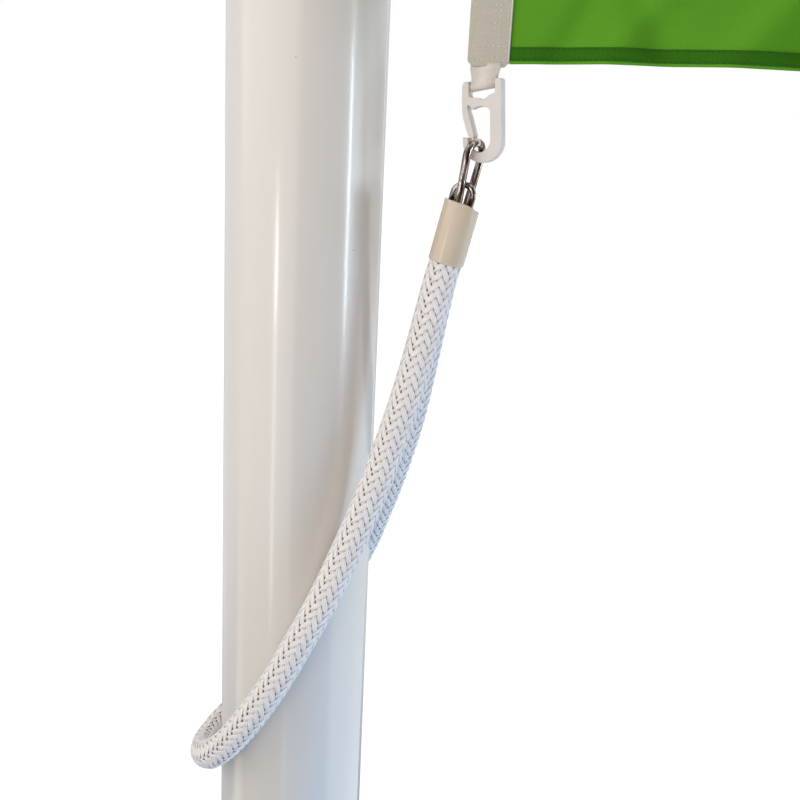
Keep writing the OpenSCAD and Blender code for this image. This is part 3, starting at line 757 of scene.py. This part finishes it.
# The clip's outline, in millimetres right of its middle and up from its ears: first its bow and its hook
CLIP_BOW_R = 12.5
CLIP_BOW_Z = -35.5
CLIP_BOW_STEPS = 28
HOOK_R = 7.4
HOOK_X = -2.3
HOOK_Z = -34.4
HOOK_START = 200.0
HOOK_STEPS = 20
# The strap's slot and the right ear
CLIP_SLOT = [
    (-8.2, -0.6), (-8.2, -8.4), (-7.6, -9.8), (-3.2, -10.2), (0.3, -11.4), (3.6, -9.8), (4.6, -8.7),
    (8.2, -7.9), (8.4, 0.3), (11.3, 0.3), (12.1, -0.1), (12.5, -1.2),
]
# The nose of the hook
CLIP_NOSE = [(-12.6, -32.6), (-9.2, -33.2), (-8.8, -35.2)]
# The window's upper edge, and the gate down one side and up the other to the left ear
CLIP_GATE = [
    (5.1, -18.6), (4.7, -17.2), (3.2, -15.9), (-0.7, -15.2), (-4.6, -15.9), (-6.4, -16.9), (-7.3, -15.6),
    (-8.0, -14.2), (-8.9, -14.2), (-9.2, -15.4), (-8.9, -17.5), (-7.4, -22.5), (-5.9, -28.5),
    (-4.9, -32.3), (-5.4, -33.3), (-7.1, -33.6), (-8.6, -32.6), (-10.2, -28.3), (-11.9, -22.5),
    (-12.8, -17.5), (-12.7, -10.0), (-12.5, -3.4), (-11.6, -1.3), (-10.2, -0.7),
]


def arc(x, z, radius, first, last, steps):
    """Points along part of a circle, by angles in degrees."""
    angles = [math.radians(first + (last - first) * k / steps) for k in range(steps + 1)]
    return [(x + radius * math.cos(a), z + radius * math.sin(a)) for a in angles]


def clip_way():
    """How the clip hangs on the tape."""
    turn = Matrix.Rotation(CLIP_TURN, 4, "Z") @ Matrix.Rotation(-CLIP_TILT, 4, "Y")
    return Matrix.Translation(CLIP_BAR) @ turn


def hook_clip():
    """The moulded clip: ears and bar for the strap, a hook, and a springy gate."""
    bow = arc(0.0, CLIP_BOW_Z, CLIP_BOW_R, 0.0, -180.0, CLIP_BOW_STEPS)
    hook = arc(HOOK_X, HOOK_Z, HOOK_R, HOOK_START, 360.0, HOOK_STEPS)
    outline = [*CLIP_SLOT, *bow, *CLIP_NOSE, *hook, *CLIP_GATE]
    bm = bmesh.new()
    corners = [bm.verts.new((x / 1000, -CLIP_DEPTH / 2, CLIP_TOP + z / 1000)) for x, z in outline]
    face = bm.faces.new(corners)
    made = bmesh.ops.extrude_face_region(bm, geom=[face], use_keep_orig=True)["geom"]
    back = [g for g in made if isinstance(g, bmesh.types.BMVert)]
    bmesh.ops.translate(bm, verts=back, vec=(0.0, CLIP_DEPTH, 0.0))
    lie = Matrix.Rotation(math.pi / 2 - math.atan(BAR_SLANT), 4, "Y")
    bmesh.ops.create_cone(
        bm, cap_ends=True, segments=BAR_SIDES, radius1=BAR_R, radius2=BAR_R, depth=BAR_LENGTH, matrix=lie
    )
    bmesh.ops.recalc_face_normals(bm, faces=bm.faces)
    bmesh.ops.transform(bm, verts=bm.verts, matrix=clip_way())
    piece = finished(bm, "moulded_clip", "banner", [CLIP_PLASTIC], ["snap_clip"])
    ease(piece, CLIP_EDGE)
    return piece


# Webbing: its widths and thickness, how it wraps the bar, and how it goes on from there
WEBBING_WIDTH = 0.0153
WEBBING_MIDDLE = 0.0168
WEBBING_SPREAD = 0.0184
WEBBING_THICK = 0.0013
WEBBING_R = 0.0025
WEBBING_WRAP = math.radians(40.0)
WEBBING_STEPS = 24
WEBBING_SHIFT = 0.0005
WEBBING_LEAN = 0.10
# The height above the bar at which the bar's slant is gone
WEBBING_LEVEL = 0.008
# How each ply goes up from the bar: its place out of the middle, its height and its width
WEBBING_RISE = [
    (0.0013, 0.0036, WEBBING_WIDTH), (0.0009, 0.0062, WEBBING_MIDDLE), (0.0007, 0.0088, WEBBING_SPREAD),
    (0.0007, 0.0118, WEBBING_SPREAD),
]


def webbing_loop():
    """The webbing: down at the back, round under the clip's slanted bar and up again in front."""
    bm = bmesh.new()
    start = Vector((0.0, WEBBING_R * math.cos(WEBBING_WRAP), WEBBING_R * math.sin(WEBBING_WRAP)))
    ends = [bm.verts.new(start + Vector((side * WEBBING_WIDTH / 2, 0.0, 0.0))) for side in (-1, 1)]
    first = bm.edges.new(ends)
    made = bmesh.ops.spin(
        bm, geom=[*ends, first], cent=(0.0, 0.0, 0.0), axis=(-1.0, 0.0, 0.0),
        angle=math.pi + 2 * WEBBING_WRAP, steps=WEBBING_STEPS,
    )["geom_last"]
    last = next(g for g in made if isinstance(g, bmesh.types.BMEdge))
    for edge, side in ((first, 1), (last, -1)):
        for y, z, width in WEBBING_RISE:
            geom = bmesh.ops.extrude_edge_only(bm, edges=[edge])["geom"]
            fresh = [g for g in geom if isinstance(g, bmesh.types.BMVert)]
            for vert in fresh:
                vert.co = (math.copysign(width / 2, vert.co.x), side * y, z)
            edge = next(g for g in geom if isinstance(g, bmesh.types.BMEdge) and set(g.verts) == set(fresh))
    bmesh.ops.recalc_face_normals(bm, faces=bm.faces)
    for vert in bm.verts:
        share = min(1.0, max(0.0, 1.0 - vert.co.z / WEBBING_LEVEL))
        vert.co.z += BAR_SLANT * vert.co.x * share
        vert.co.x += WEBBING_SHIFT + WEBBING_LEAN * max(0.0, vert.co.z)
    bmesh.ops.transform(bm, verts=bm.verts, matrix=clip_way())
    piece = finished(bm, "webbing_strap", "banner", [WEBBING], ["webbing_loop"])
    thicken(piece, WEBBING_THICK)
    return piece


# Cloth: the flag hangs from the arm by its sleeve, with a taped inner edge
STITCH_PITCH = 0.0032
STITCH_LENGTH = 0.0011
STITCH_THICK = 0.00040
TAPE_THICK = 0.0034
TAPE_CORNER = 0.003
TAPE_EDGE = 0.0008
SELVEDGE = 0.001
SELVEDGE_EDGE = 0.0004
# The tape's seams: in from its outer edge, up from its lower end, and how far short each kind stops
TAPE_SEAMS = (0.0022, 0.0068, 0.0098)
TAPE_SEAM_END = 0.004
CROSS_SEAMS = (0.004, 0.0115)
CROSS_SEAM_END = 0.002
CLOTH_THICK = 0.0006
# The cloth's grid along its run and its rise, and how much closer it is near the lower inner corner
CLOTH_GRID = (150, 300)
CLOTH_CROWDING = 1.5
HEM_HEIGHT = 0.0095
HEM_THICK = 0.0026
HEM_EDGE = 0.0009
LOWER_CUTS = (260, 0)
OUTER_CUTS = (0, 400)
FACING = 0.0018
FACING_EXTRA = 0.0003
FACING_EDGE = 0.0006
# The hems' seams: up from the lower edge, in from the outer edge, and how far the lower ones stand proud
LOWER_SEAMS = (0.0026, HEM_HEIGHT - 0.0008)
OUTER_SEAMS = (0.0014, HEM_HEIGHT - 0.0012)
SEAM_PROUD = 0.0002
# Hanging folds, as in the solid cloth
FOLD_DEPTH = 0.016
FOLD_PITCH = 0.838
FOLD_SLANT = math.radians(31.5)
FOLD_START = math.radians(23.0)
FOLD_ROOT = 0.35
FOLD_FADE = 0.8
# Ripples across the folds
RIPPLE_DEPTH = 0.003
RIPPLE_RUN = 17.0
RIPPLE_RISE = 1.3
# Creases that fan out of the lower inner corner: run along the edge, lean, width and height
CREASES = [
    (0.026, 0.55, 0.010, 0.0034), (0.056, 0.70, 0.012, -0.0050), (0.090, -0.45, 0.012, 0.0058),
    (0.125, 0.75, 0.014, -0.0066), (0.165, 0.65, 0.013, 0.0066), (0.205, 0.90, 0.012, -0.0056),
    (0.240, 0.55, 0.026, -0.0070), (0.285, -0.50, 0.013, 0.0054), (0.325, 0.80, 0.012, -0.0046),
    (0.360, 0.75, 0.04, 0.0064), (0.420, 0.65, 0.014, 0.0046), (0.520, 0.6, 0.06, -0.006),
]
CREASE_FADE = 0.5
CREASE_ROOT = 0.02
# How far the lower edge bows up, over which run, and the height at which that is gone
EDGE_LIFT = 0.0034
EDGE_RUN = 0.07
EDGE_FADE = 0.4


def fold(x, z):
    """How far the cloth stands out of its plane: slow hanging folds, and creases near the lower corner."""
    run = x - FLAG_LOW.x
    rise = z - FLAG_LOW.z
    drop = max(0.0, FLAG_HIGH.z - z)
    free = min(1.0, max(0.0, run) / FOLD_ROOT) * min(1.0, drop / FOLD_FADE)
    turns = math.tau * run / FOLD_PITCH - FOLD_SLANT * rise + FOLD_START
    ripple = RIPPLE_DEPTH * math.sin(RIPPLE_RUN * run + RIPPLE_RISE * rise)
    out = free * (FOLD_DEPTH * math.sin(turns) + ripple)
    for along, lean, width, height in CREASES:
        off = (run - along - lean * rise) / width
        out += height * math.exp(-off * off - rise / CREASE_FADE) * min(1.0, max(0.0, run) / CREASE_ROOT)
    return out


def lay_folds(bm):
    """Moves flat cloth and its stitches onto the folds."""
    for vert in bm.verts:
        vert.co.y += fold(vert.co.x, vert.co.z)
        run = max(0.0, vert.co.x - FLAG_LOW.x)
        rise = max(0.0, vert.co.z - FLAG_LOW.z)
        vert.co.z += EDGE_LIFT * (1.0 - math.exp(-run / EDGE_RUN)) * max(0.0, 1.0 - rise / EDGE_FADE)


def sew(bm, start, end, y):
    """A row of stitches from one point to another, on both faces of a cloth."""
    way = end - start
    count = max(1, round(way.length / STITCH_PITCH))
    step = way / count
    row = bmesh.new()
    lie = Vector((1.0, 0.0, 0.0)).rotation_difference(step).to_matrix().to_4x4()
    size = Matrix.Diagonal((STITCH_LENGTH, STITCH_THICK, STITCH_THICK, 1.0))
    for face in (-1, 1):
        place = Matrix.Translation(start + step / 2 + Vector((0.0, face * y, 0.0))) @ lie @ size
        bmesh.ops.create_icosphere(row, subdivisions=1, radius=1.0, matrix=place)
    made = 1
    while made < count:
        copy = bmesh.ops.duplicate(row, geom=[*row.verts, *row.edges, *row.faces])["geom"]
        verts = [g for g in copy if isinstance(g, bmesh.types.BMVert)]
        bmesh.ops.translate(row, verts=verts, vec=step * made)
        made *= 2
    surplus = [v for v in row.verts if (v.co - start).dot(way) > way.length_squared]
    bmesh.ops.delete(row, geom=surplus, context="VERTS")
    mesh = bpy.data.meshes.new("stitch_row")
    row.to_mesh(mesh)
    row.free()
    bm.from_mesh(mesh)
    bpy.data.meshes.remove(mesh)


def rounded_strip(bm, low, high, thick, cuts_x, cuts_z, edge):
    """A strip of cloth in the XZ plane with round edges, cut up finely enough to follow folds."""
    middle = (low + high) / 2
    size = (high.x - low.x, thick, high.z - low.z, 1.0)
    place = Matrix.Translation((middle.x, 0.0, middle.z)) @ Matrix.Diagonal(size)
    verts = bmesh.ops.create_cube(bm, size=1.0, matrix=place)["verts"]
    edges = list({e for v in verts for e in v.link_edges})
    bmesh.ops.bevel(bm, geom=edges, offset=edge, affect="EDGES", segments=2, profile=0.5, material=-1)
    for axis, cuts in ((0, cuts_x), (2, cuts_z)):
        if cuts:
            reach = (high[axis] - low[axis]) / 2
            long_edges = [e for e in bm.edges if abs(e.verts[0].co[axis] - e.verts[1].co[axis]) > reach]
            bmesh.ops.subdivide_edges(bm, edges=long_edges, cuts=cuts)


def heading_tape():
    """The canvas tape along the flag's inner edge, with chamfered lower corners, and its stitches."""
    bm = bmesh.new()
    low, high = TAPE_LOW, TAPE_HIGH
    outline = [
        (low.x + TAPE_CORNER, low.z), (high.x - TAPE_CORNER, low.z), (high.x, low.z + TAPE_CORNER),
        (high.x, high.z), (low.x, high.z), (low.x, low.z + TAPE_CORNER),
    ]
    face = bm.faces.new([bm.verts.new((x, -TAPE_THICK / 2, z)) for x, z in outline])
    made = bmesh.ops.extrude_face_region(bm, geom=[face], use_keep_orig=True)["geom"]
    back = [g for g in made if isinstance(g, bmesh.types.BMVert)]
    bmesh.ops.translate(bm, verts=back, vec=(0.0, TAPE_THICK, 0.0))
    bmesh.ops.recalc_face_normals(bm, faces=bm.faces)
    bmesh.ops.bevel(
        bm, geom=bm.edges[:], offset=TAPE_EDGE, affect="EDGES", segments=3, profile=0.5, material=-1
    )
    tape = finished(bm, "canvas_heading", "banner", [CANVAS], ["heading_tape"])
    bm = bmesh.new()
    selvedge = Vector((high.x - SELVEDGE, 0.0, low.z + TAPE_CORNER))
    rounded_strip(bm, selvedge, high, TAPE_THICK + SELVEDGE, 0, 0, SELVEDGE_EDGE)
    for inset in TAPE_SEAMS:
        x = high.x - inset
        start = Vector((x, 0.0, low.z + TAPE_SEAM_END))
        sew(bm, start, Vector((x, 0.0, high.z - TAPE_SEAM_END)), TAPE_THICK / 2)
    for rise in CROSS_SEAMS:
        z = low.z + rise
        start = Vector((low.x + CROSS_SEAM_END, 0.0, z))
        sew(bm, start, Vector((high.x - CROSS_SEAM_END, 0.0, z)), TAPE_THICK / 2)
    seams = finished(bm, "heading_stitches", "banner", [TAPE_THREAD])
    return [tape, seams]


def folded_hem(name, low, high, thick, cuts, edge, material):
    """A strip along one edge of the flag, laid onto the folds."""
    bm = bmesh.new()
    rounded_strip(bm, low, high, thick, *cuts, edge)
    lay_folds(bm)
    return finished(bm, name, "banner", [material])


def flag():
    """The flag's cloth with its hems and stitches, hung from the arm."""
    low, high = FLAG_LOW, FLAG_HIGH
    bm = bmesh.new()
    bmesh.ops.create_grid(bm, x_segments=CLOTH_GRID[0], y_segments=CLOTH_GRID[1], size=0.5)
    for vert in bm.verts:
        run = (vert.co.x + 0.5) ** CLOTH_CROWDING * (high.x - low.x)
        rise = (vert.co.y + 0.5) ** CLOTH_CROWDING * (high.z - low.z)
        vert.co = (low.x + run, 0.0, low.z + rise)
    lay_folds(bm)
    bmesh.ops.recalc_face_normals(bm, faces=bm.faces)
    cloth = finished(bm, "green_flag", "banner", [FLAG_GREEN], ["flag_cloth"])
    thicken(cloth, CLOTH_THICK)
    hem_end = Vector((high.x, 0.0, low.z + HEM_HEIGHT))
    lower = folded_hem("lower_hem", low, hem_end, HEM_THICK, LOWER_CUTS, HEM_EDGE, HEM_GREEN)
    facing_end = Vector((high.x, 0.0, low.z + FACING))
    facing_thick = HEM_THICK + FACING_EXTRA
    facing = folded_hem("hem_facing", low, facing_end, facing_thick, LOWER_CUTS, FACING_EDGE, FLAG_GREEN)
    outer_start = Vector((high.x - HEM_HEIGHT, 0.0, low.z))
    outer = folded_hem("outer_hem", outer_start, high, HEM_THICK, OUTER_CUTS, HEM_EDGE, HEM_GREEN)
    bm = bmesh.new()
    for rise in LOWER_SEAMS:
        z = low.z + rise
        sew(bm, Vector((low.x, 0.0, z)), Vector((high.x, 0.0, z)), HEM_THICK / 2 + SEAM_PROUD)
    for inset in OUTER_SEAMS:
        x = high.x - inset
        sew(bm, Vector((x, 0.0, low.z)), Vector((x, 0.0, high.z)), HEM_THICK / 2)
    lay_folds(bm)
    seams = finished(bm, "flag_stitches", "banner", [GREEN_THREAD_AND_DIMPLE_SHADE])
    return cloth, [lower, facing, outer, seams]


# Sleeve: its cloth and how finely it is divided
SLEEVE_CLOTH = 0.0008
SLEEVE_SIDES = 32
SLEEVE_RINGS = 160
# Its puckers: their height, how close the small ones are, how they twist, and the swells they come in
PUCKER_HEIGHT = 0.0006
PUCKER_RUN = 70.0
PUCKER_TWIST = 2.0
SWELL_RUN = 23.0
SWELL_START = 1.0
# How much it hangs below the arm, and how much it is drawn in there
SLEEVE_SAG = 0.12
SLEEVE_PINCH = 0.5


def arm_sleeve():
    """The cloth sleeve that hangs on the arm: round over the top, drawn to a seam below."""
    low, high = HEM_LOW, HEM_HIGH
    middle = (low + high) / 2
    radius = (high.z - low.z) / 2 - SLEEVE_CLOTH
    bm = bmesh.new()
    verts = straight_tube(bm, SLEEVE_SIDES, SLEEVE_RINGS)
    ends = [f for f in bm.faces if len(f.verts) == SLEEVE_SIDES]
    bmesh.ops.delete(bm, geom=ends, context="FACES_ONLY")
    for vert in verts:
        angle = math.atan2(vert.co.y, vert.co.x)
        run = vert.co.z
        swell = math.sin(SWELL_RUN * run + SWELL_START)
        pucker = PUCKER_HEIGHT * math.sin(PUCKER_RUN * run + PUCKER_TWIST * angle) * swell
        below = max(0.0, -math.sin(angle)) ** 3
        reach = (radius + pucker) * (1.0 + SLEEVE_SAG * below)
        pinch = 1.0 - SLEEVE_PINCH * below
        along = low.x + run * (high.x - low.x)
        vert.co = (along, reach * math.cos(angle) * pinch, middle.z + reach * math.sin(angle))
    bmesh.ops.recalc_face_normals(bm, faces=bm.faces)
    piece = finished(bm, "sleeve_on_arm", "banner", [FLAG_GREEN], ["arm_hem"])
    thicken(piece, SLEEVE_CLOTH)
    return piece


# Foot: anchor studs, nuts and washers in the base plate's holes
STUD_INSET = 0.035
STUD_R = 0.008
STUD_RISE = 0.030
STUD_SIDES = 24
WASHER_R = 0.015
WASHER_THICK = 0.003
WASHER_SIDES = 32
WASHER_EDGE = 0.0004
NUT_R = 0.0139
NUT_HEIGHT = 0.013
NUT_SIDES = 6
NUT_EDGE = 0.0012


def turned(bm, sides, radius, low, high, x, y, edge):
    """A round or hexagonal bar on end, with eased rims."""
    place = Matrix.Translation((x, y, (low + high) / 2))
    verts = bmesh.ops.create_cone(
        bm, cap_ends=True, segments=sides, radius1=radius, radius2=radius, depth=high - low, matrix=place
    )["verts"]
    fresh = set(verts)
    level = [e for e in bm.edges if abs(e.verts[0].co.z - e.verts[1].co.z) < edge]
    rims = [e for e in level if fresh.issuperset(e.verts)]
    bmesh.ops.bevel(bm, geom=rims, offset=edge, affect="EDGES", segments=2, profile=0.5, material=-1)


def anchor_fixings():
    """Four studs, each with its washer and nut."""
    bm = bmesh.new()
    seat = PLATE_HIGH.z
    nut_low = seat + WASHER_THICK
    for x in (PLATE_LOW.x + STUD_INSET, PLATE_HIGH.x - STUD_INSET):
        for y in (PLATE_LOW.y + STUD_INSET, PLATE_HIGH.y - STUD_INSET):
            turned(bm, WASHER_SIDES, WASHER_R, seat, nut_low, x, y, WASHER_EDGE)
            turned(bm, NUT_SIDES, NUT_R, nut_low, nut_low + NUT_HEIGHT, x, y, NUT_EDGE)
            turned(bm, STUD_SIDES, STUD_R, PLATE_LOW.z, seat + STUD_RISE, x, y, NUT_EDGE)
    return finished(bm, "anchor_fixings", "pole", [ZINC])


# Stage: floor, background and light
FLOOR_SIZE = 80.0
FLOOR_DROP = 0.0005
FLOOR_GLOW = 0.75
AMBIENT = (0.360, 0.346, 0.346, 1.0)
# Cards: name, azimuth, distance, half width, and the colours above and below
CARDS = [
    ("pale_card", -32.0, 1.2, 0.86, (1.25, 1.24, 1.22), (0.34, 0.34, 0.33)),
    ("brown_card", 44.0, 1.2, 0.82, (0.22, 0.165, 0.13), (0.22, 0.42, 0.80)),
    ("grey_card", 215.0, 0.8, 1.60, (0.80, 0.81, 0.82), (0.30, 0.33, 0.38)),
]
CARD_HALF_HEIGHT = 1.9
CARD_MIDDLE = 1.2
# Heights between which a card changes from its lower colour to its upper one
CARD_CHANGE = (0.35, 0.95)
# Soft light from the left: name, azimuth, elevation, strength and colour, and how wide it is in the sky
SOFT_KEY = ("soft_key", -48.0, 25.0, 0.92, (0.92, 0.98, 1.0))
SOFT_KEY_SPREAD = math.radians(80.0)
# Square lamps that no finish mirrors: name, azimuth, elevation, watts, colour, distance and height
SQUARE_LAMPS = [
    ("near_key", -48.0, 20.0, 1.45, (1.0, 0.985, 0.95), 0.8, 1.60),
    ("warm_fill", 14.0, 12.0, 1.1, (1.0, 0.86, 0.76), 0.65, 1.58),
    ("cool_edge", 78.0, -16.0, 2.6, (0.05, 0.44, 1.0), 0.7, 1.02),
    ("cool_side", 97.0, 2.0, 9.5, (0.74, 0.88, 1.0), 1.8, 1.42),
]
SQUARE_SIZE = 0.5
# Narrow lamps that show as streaks: the same, then width, length and whether they light matt surfaces too
STREAK_LAMPS = [
    ("left_strip", -18.0, 2.0, 0.5, (1.0, 1.0, 1.0), 1.1, 1.10, 0.06, 0.70, True),
    ("left_glint", -18.0, 0.0, 0.36, (1.0, 1.0, 1.0), 1.1, 1.445, 0.035, 0.20, False),
    ("right_strip", 85.0, 2.0, 8.2, (0.7, 0.87, 1.0), 3.0, 1.32, 0.10, 0.95, False),
]


def seen_directly(tree):
    """1 on rays from the camera and in reflections, 0 on rays that carry light to the object."""
    path = add_node(tree, "ShaderNodeLightPath").outputs
    either = calc(tree, "MAXIMUM", path["Is Camera Ray"], path["Is Glossy Ray"])
    return calc(tree, "MAXIMUM", either, path["Is Transmission Ray"])


def set_floor():
    """A pale floor that shows white and keeps the shadows."""
    bm = bmesh.new()
    bmesh.ops.create_grid(bm, x_segments=1, y_segments=1, size=FLOOR_SIZE / 2)
    bmesh.ops.translate(bm, verts=bm.verts, vec=(0.0, 0.0, -FLOOR_DROP))
    mesh = bpy.data.meshes.new("floor")
    bm.to_mesh(mesh)
    bm.free()
    paint = Finish("pale_floor", Base_Color=(0.8, 0.8, 0.8, 1.0), Roughness=0.9, Specular_IOR_Level=0.0)
    glow = calc(paint.tree, "MULTIPLY", seen_directly(paint.tree), FLOOR_GLOW)
    paint.feed("Emission Strength", glow)
    paint.shader.inputs["Emission Color"].default_value = (1.0, 1.0, 1.0, 1.0)
    mesh.materials.append(paint.material)
    floor = bpy.data.objects.new("floor", mesh)
    bpy.context.scene.collection.objects.link(floor)


def set_background():
    """A world that shows white, and lights the object at a plain level."""
    world = bpy.data.worlds.new("white_background")
    world.use_nodes = True
    tree = world.node_tree
    sky = tree.nodes["Background"]
    shown = seen_directly(tree)
    tree.links.new(colour_mix(tree, shown, AMBIENT, (1.0, 1.0, 1.0, 1.0)), sky.inputs["Color"])
    bpy.context.scene.world = world


def towards(azimuth, elevation):
    """The way to a light: azimuth 0 is in front of the pole, and 90 on the flag's side."""
    a, e = math.radians(azimuth), math.radians(elevation)
    return Vector((math.sin(a) * math.cos(e), -math.cos(a) * math.cos(e), math.sin(e)))


def add_lamp(kind, name, azimuth, elevation, power, colour, distance=0.0, height=0.0):
    """A lamp that shines at the pole from a direction and isn't seen itself. Gives its object."""
    lamp = bpy.data.lights.new(name, kind)
    lamp.energy = power
    lamp.color = colour
    way = towards(azimuth, elevation)
    holder = bpy.data.objects.new(name, lamp)
    turn = way.to_track_quat("Z", "Y").to_matrix().to_4x4()
    holder.matrix_world = Matrix.Translation(Vector((0.0, 0.0, height)) + way * distance) @ turn
    holder.visible_camera = False
    bpy.context.scene.collection.objects.link(holder)
    return holder


def set_card(name, azimuth, distance, half_width, upper, lower):
    """A tall upright card that is seen only in reflections, of one colour above and another below."""
    bm = bmesh.new()
    size = Matrix.Diagonal((half_width, CARD_HALF_HEIGHT, 1.0, 1.0))
    bmesh.ops.create_grid(bm, x_segments=1, y_segments=1, size=1.0, matrix=size)
    way = towards(azimuth, 0.0)
    turn = way.to_track_quat("Z", "Y").to_matrix().to_4x4()
    middle = Vector((0.0, 0.0, CARD_MIDDLE)) + way * distance
    bmesh.ops.transform(bm, verts=bm.verts, matrix=Matrix.Translation(middle) @ turn)
    mesh = bpy.data.meshes.new(name)
    bm.to_mesh(mesh)
    bm.free()
    paint = Finish(name, Base_Color=(0.0, 0.0, 0.0, 1.0), Specular_IOR_Level=0.0, Emission_Strength=1.0)
    height = add_node(paint.tree, "ShaderNodeSeparateXYZ", {0: paint.place}).outputs["Z"]
    share = stretch(paint.tree, height, *CARD_CHANGE)
    paint.feed("Emission Color", colour_mix(paint.tree, share, (*lower, 1.0), (*upper, 1.0)))
    mesh.materials.append(paint.material)
    card = bpy.data.objects.new(name, mesh)
    bpy.context.scene.collection.objects.link(card)
    card.visible_camera = False
    card.visible_diffuse = False
    card.visible_transmission = False
    card.visible_shadow = False


def set_lights():
    """Soft light from the left, square lamps round the pole, and narrow ones that show as streaks."""
    add_lamp("SUN", *SOFT_KEY).data.angle = SOFT_KEY_SPREAD
    for square in SQUARE_LAMPS:
        holder = add_lamp("AREA", *square)
        holder.data.size = SQUARE_SIZE
        holder.visible_glossy = False
    for *place, width, length, lit in STREAK_LAMPS:
        holder = add_lamp("AREA", *place)
        holder.data.shape = "RECTANGLE"
        holder.data.size = width
        holder.data.size_y = length
        holder.visible_diffuse = lit


# Each solid piece's finish, and how far its sharp edges are eased
SOLID_FINISHES = [
    ("base_plate", ZINC, 0.001),
    ("foot_sleeve", ZINC, 0.001),
    ("foot_ribs", ZINC, 0.001),
    ("rain_collar", RUBBER, 0.001),
    ("pole_shaft", GEL_COAT, 0.0),
    ("top_plug", ALUMINIUM, 0.0005),
    ("spindle", STEEL, 0.0005),
    ("thrust_washer", CLIP_PLASTIC, 0.0003),
    ("swivel_head", GEL_COAT, 0.0012),
    ("head_cap", GEL_COAT, 0.0),
    ("banner_arm", ALUMINIUM, 0.0004),
    ("arm_end_cap", RUBBER, 0.0005),
]

set_camera()
weight_rope()
pear_link()
rope_ferrule()
steel_eye()
hook_clip()
webbing_loop()
tape_pieces = heading_tape()
cloth, hems = flag()
sleeve = arm_sleeve()
anchor_fixings()

for name, material, edge in SOLID_FINISHES:
    dress(name, material, edge)

set_floor()
set_background()
for card in CARDS:
    set_card(*card)
set_lights()
bpy.context.scene.view_settings.view_transform = "Standard"
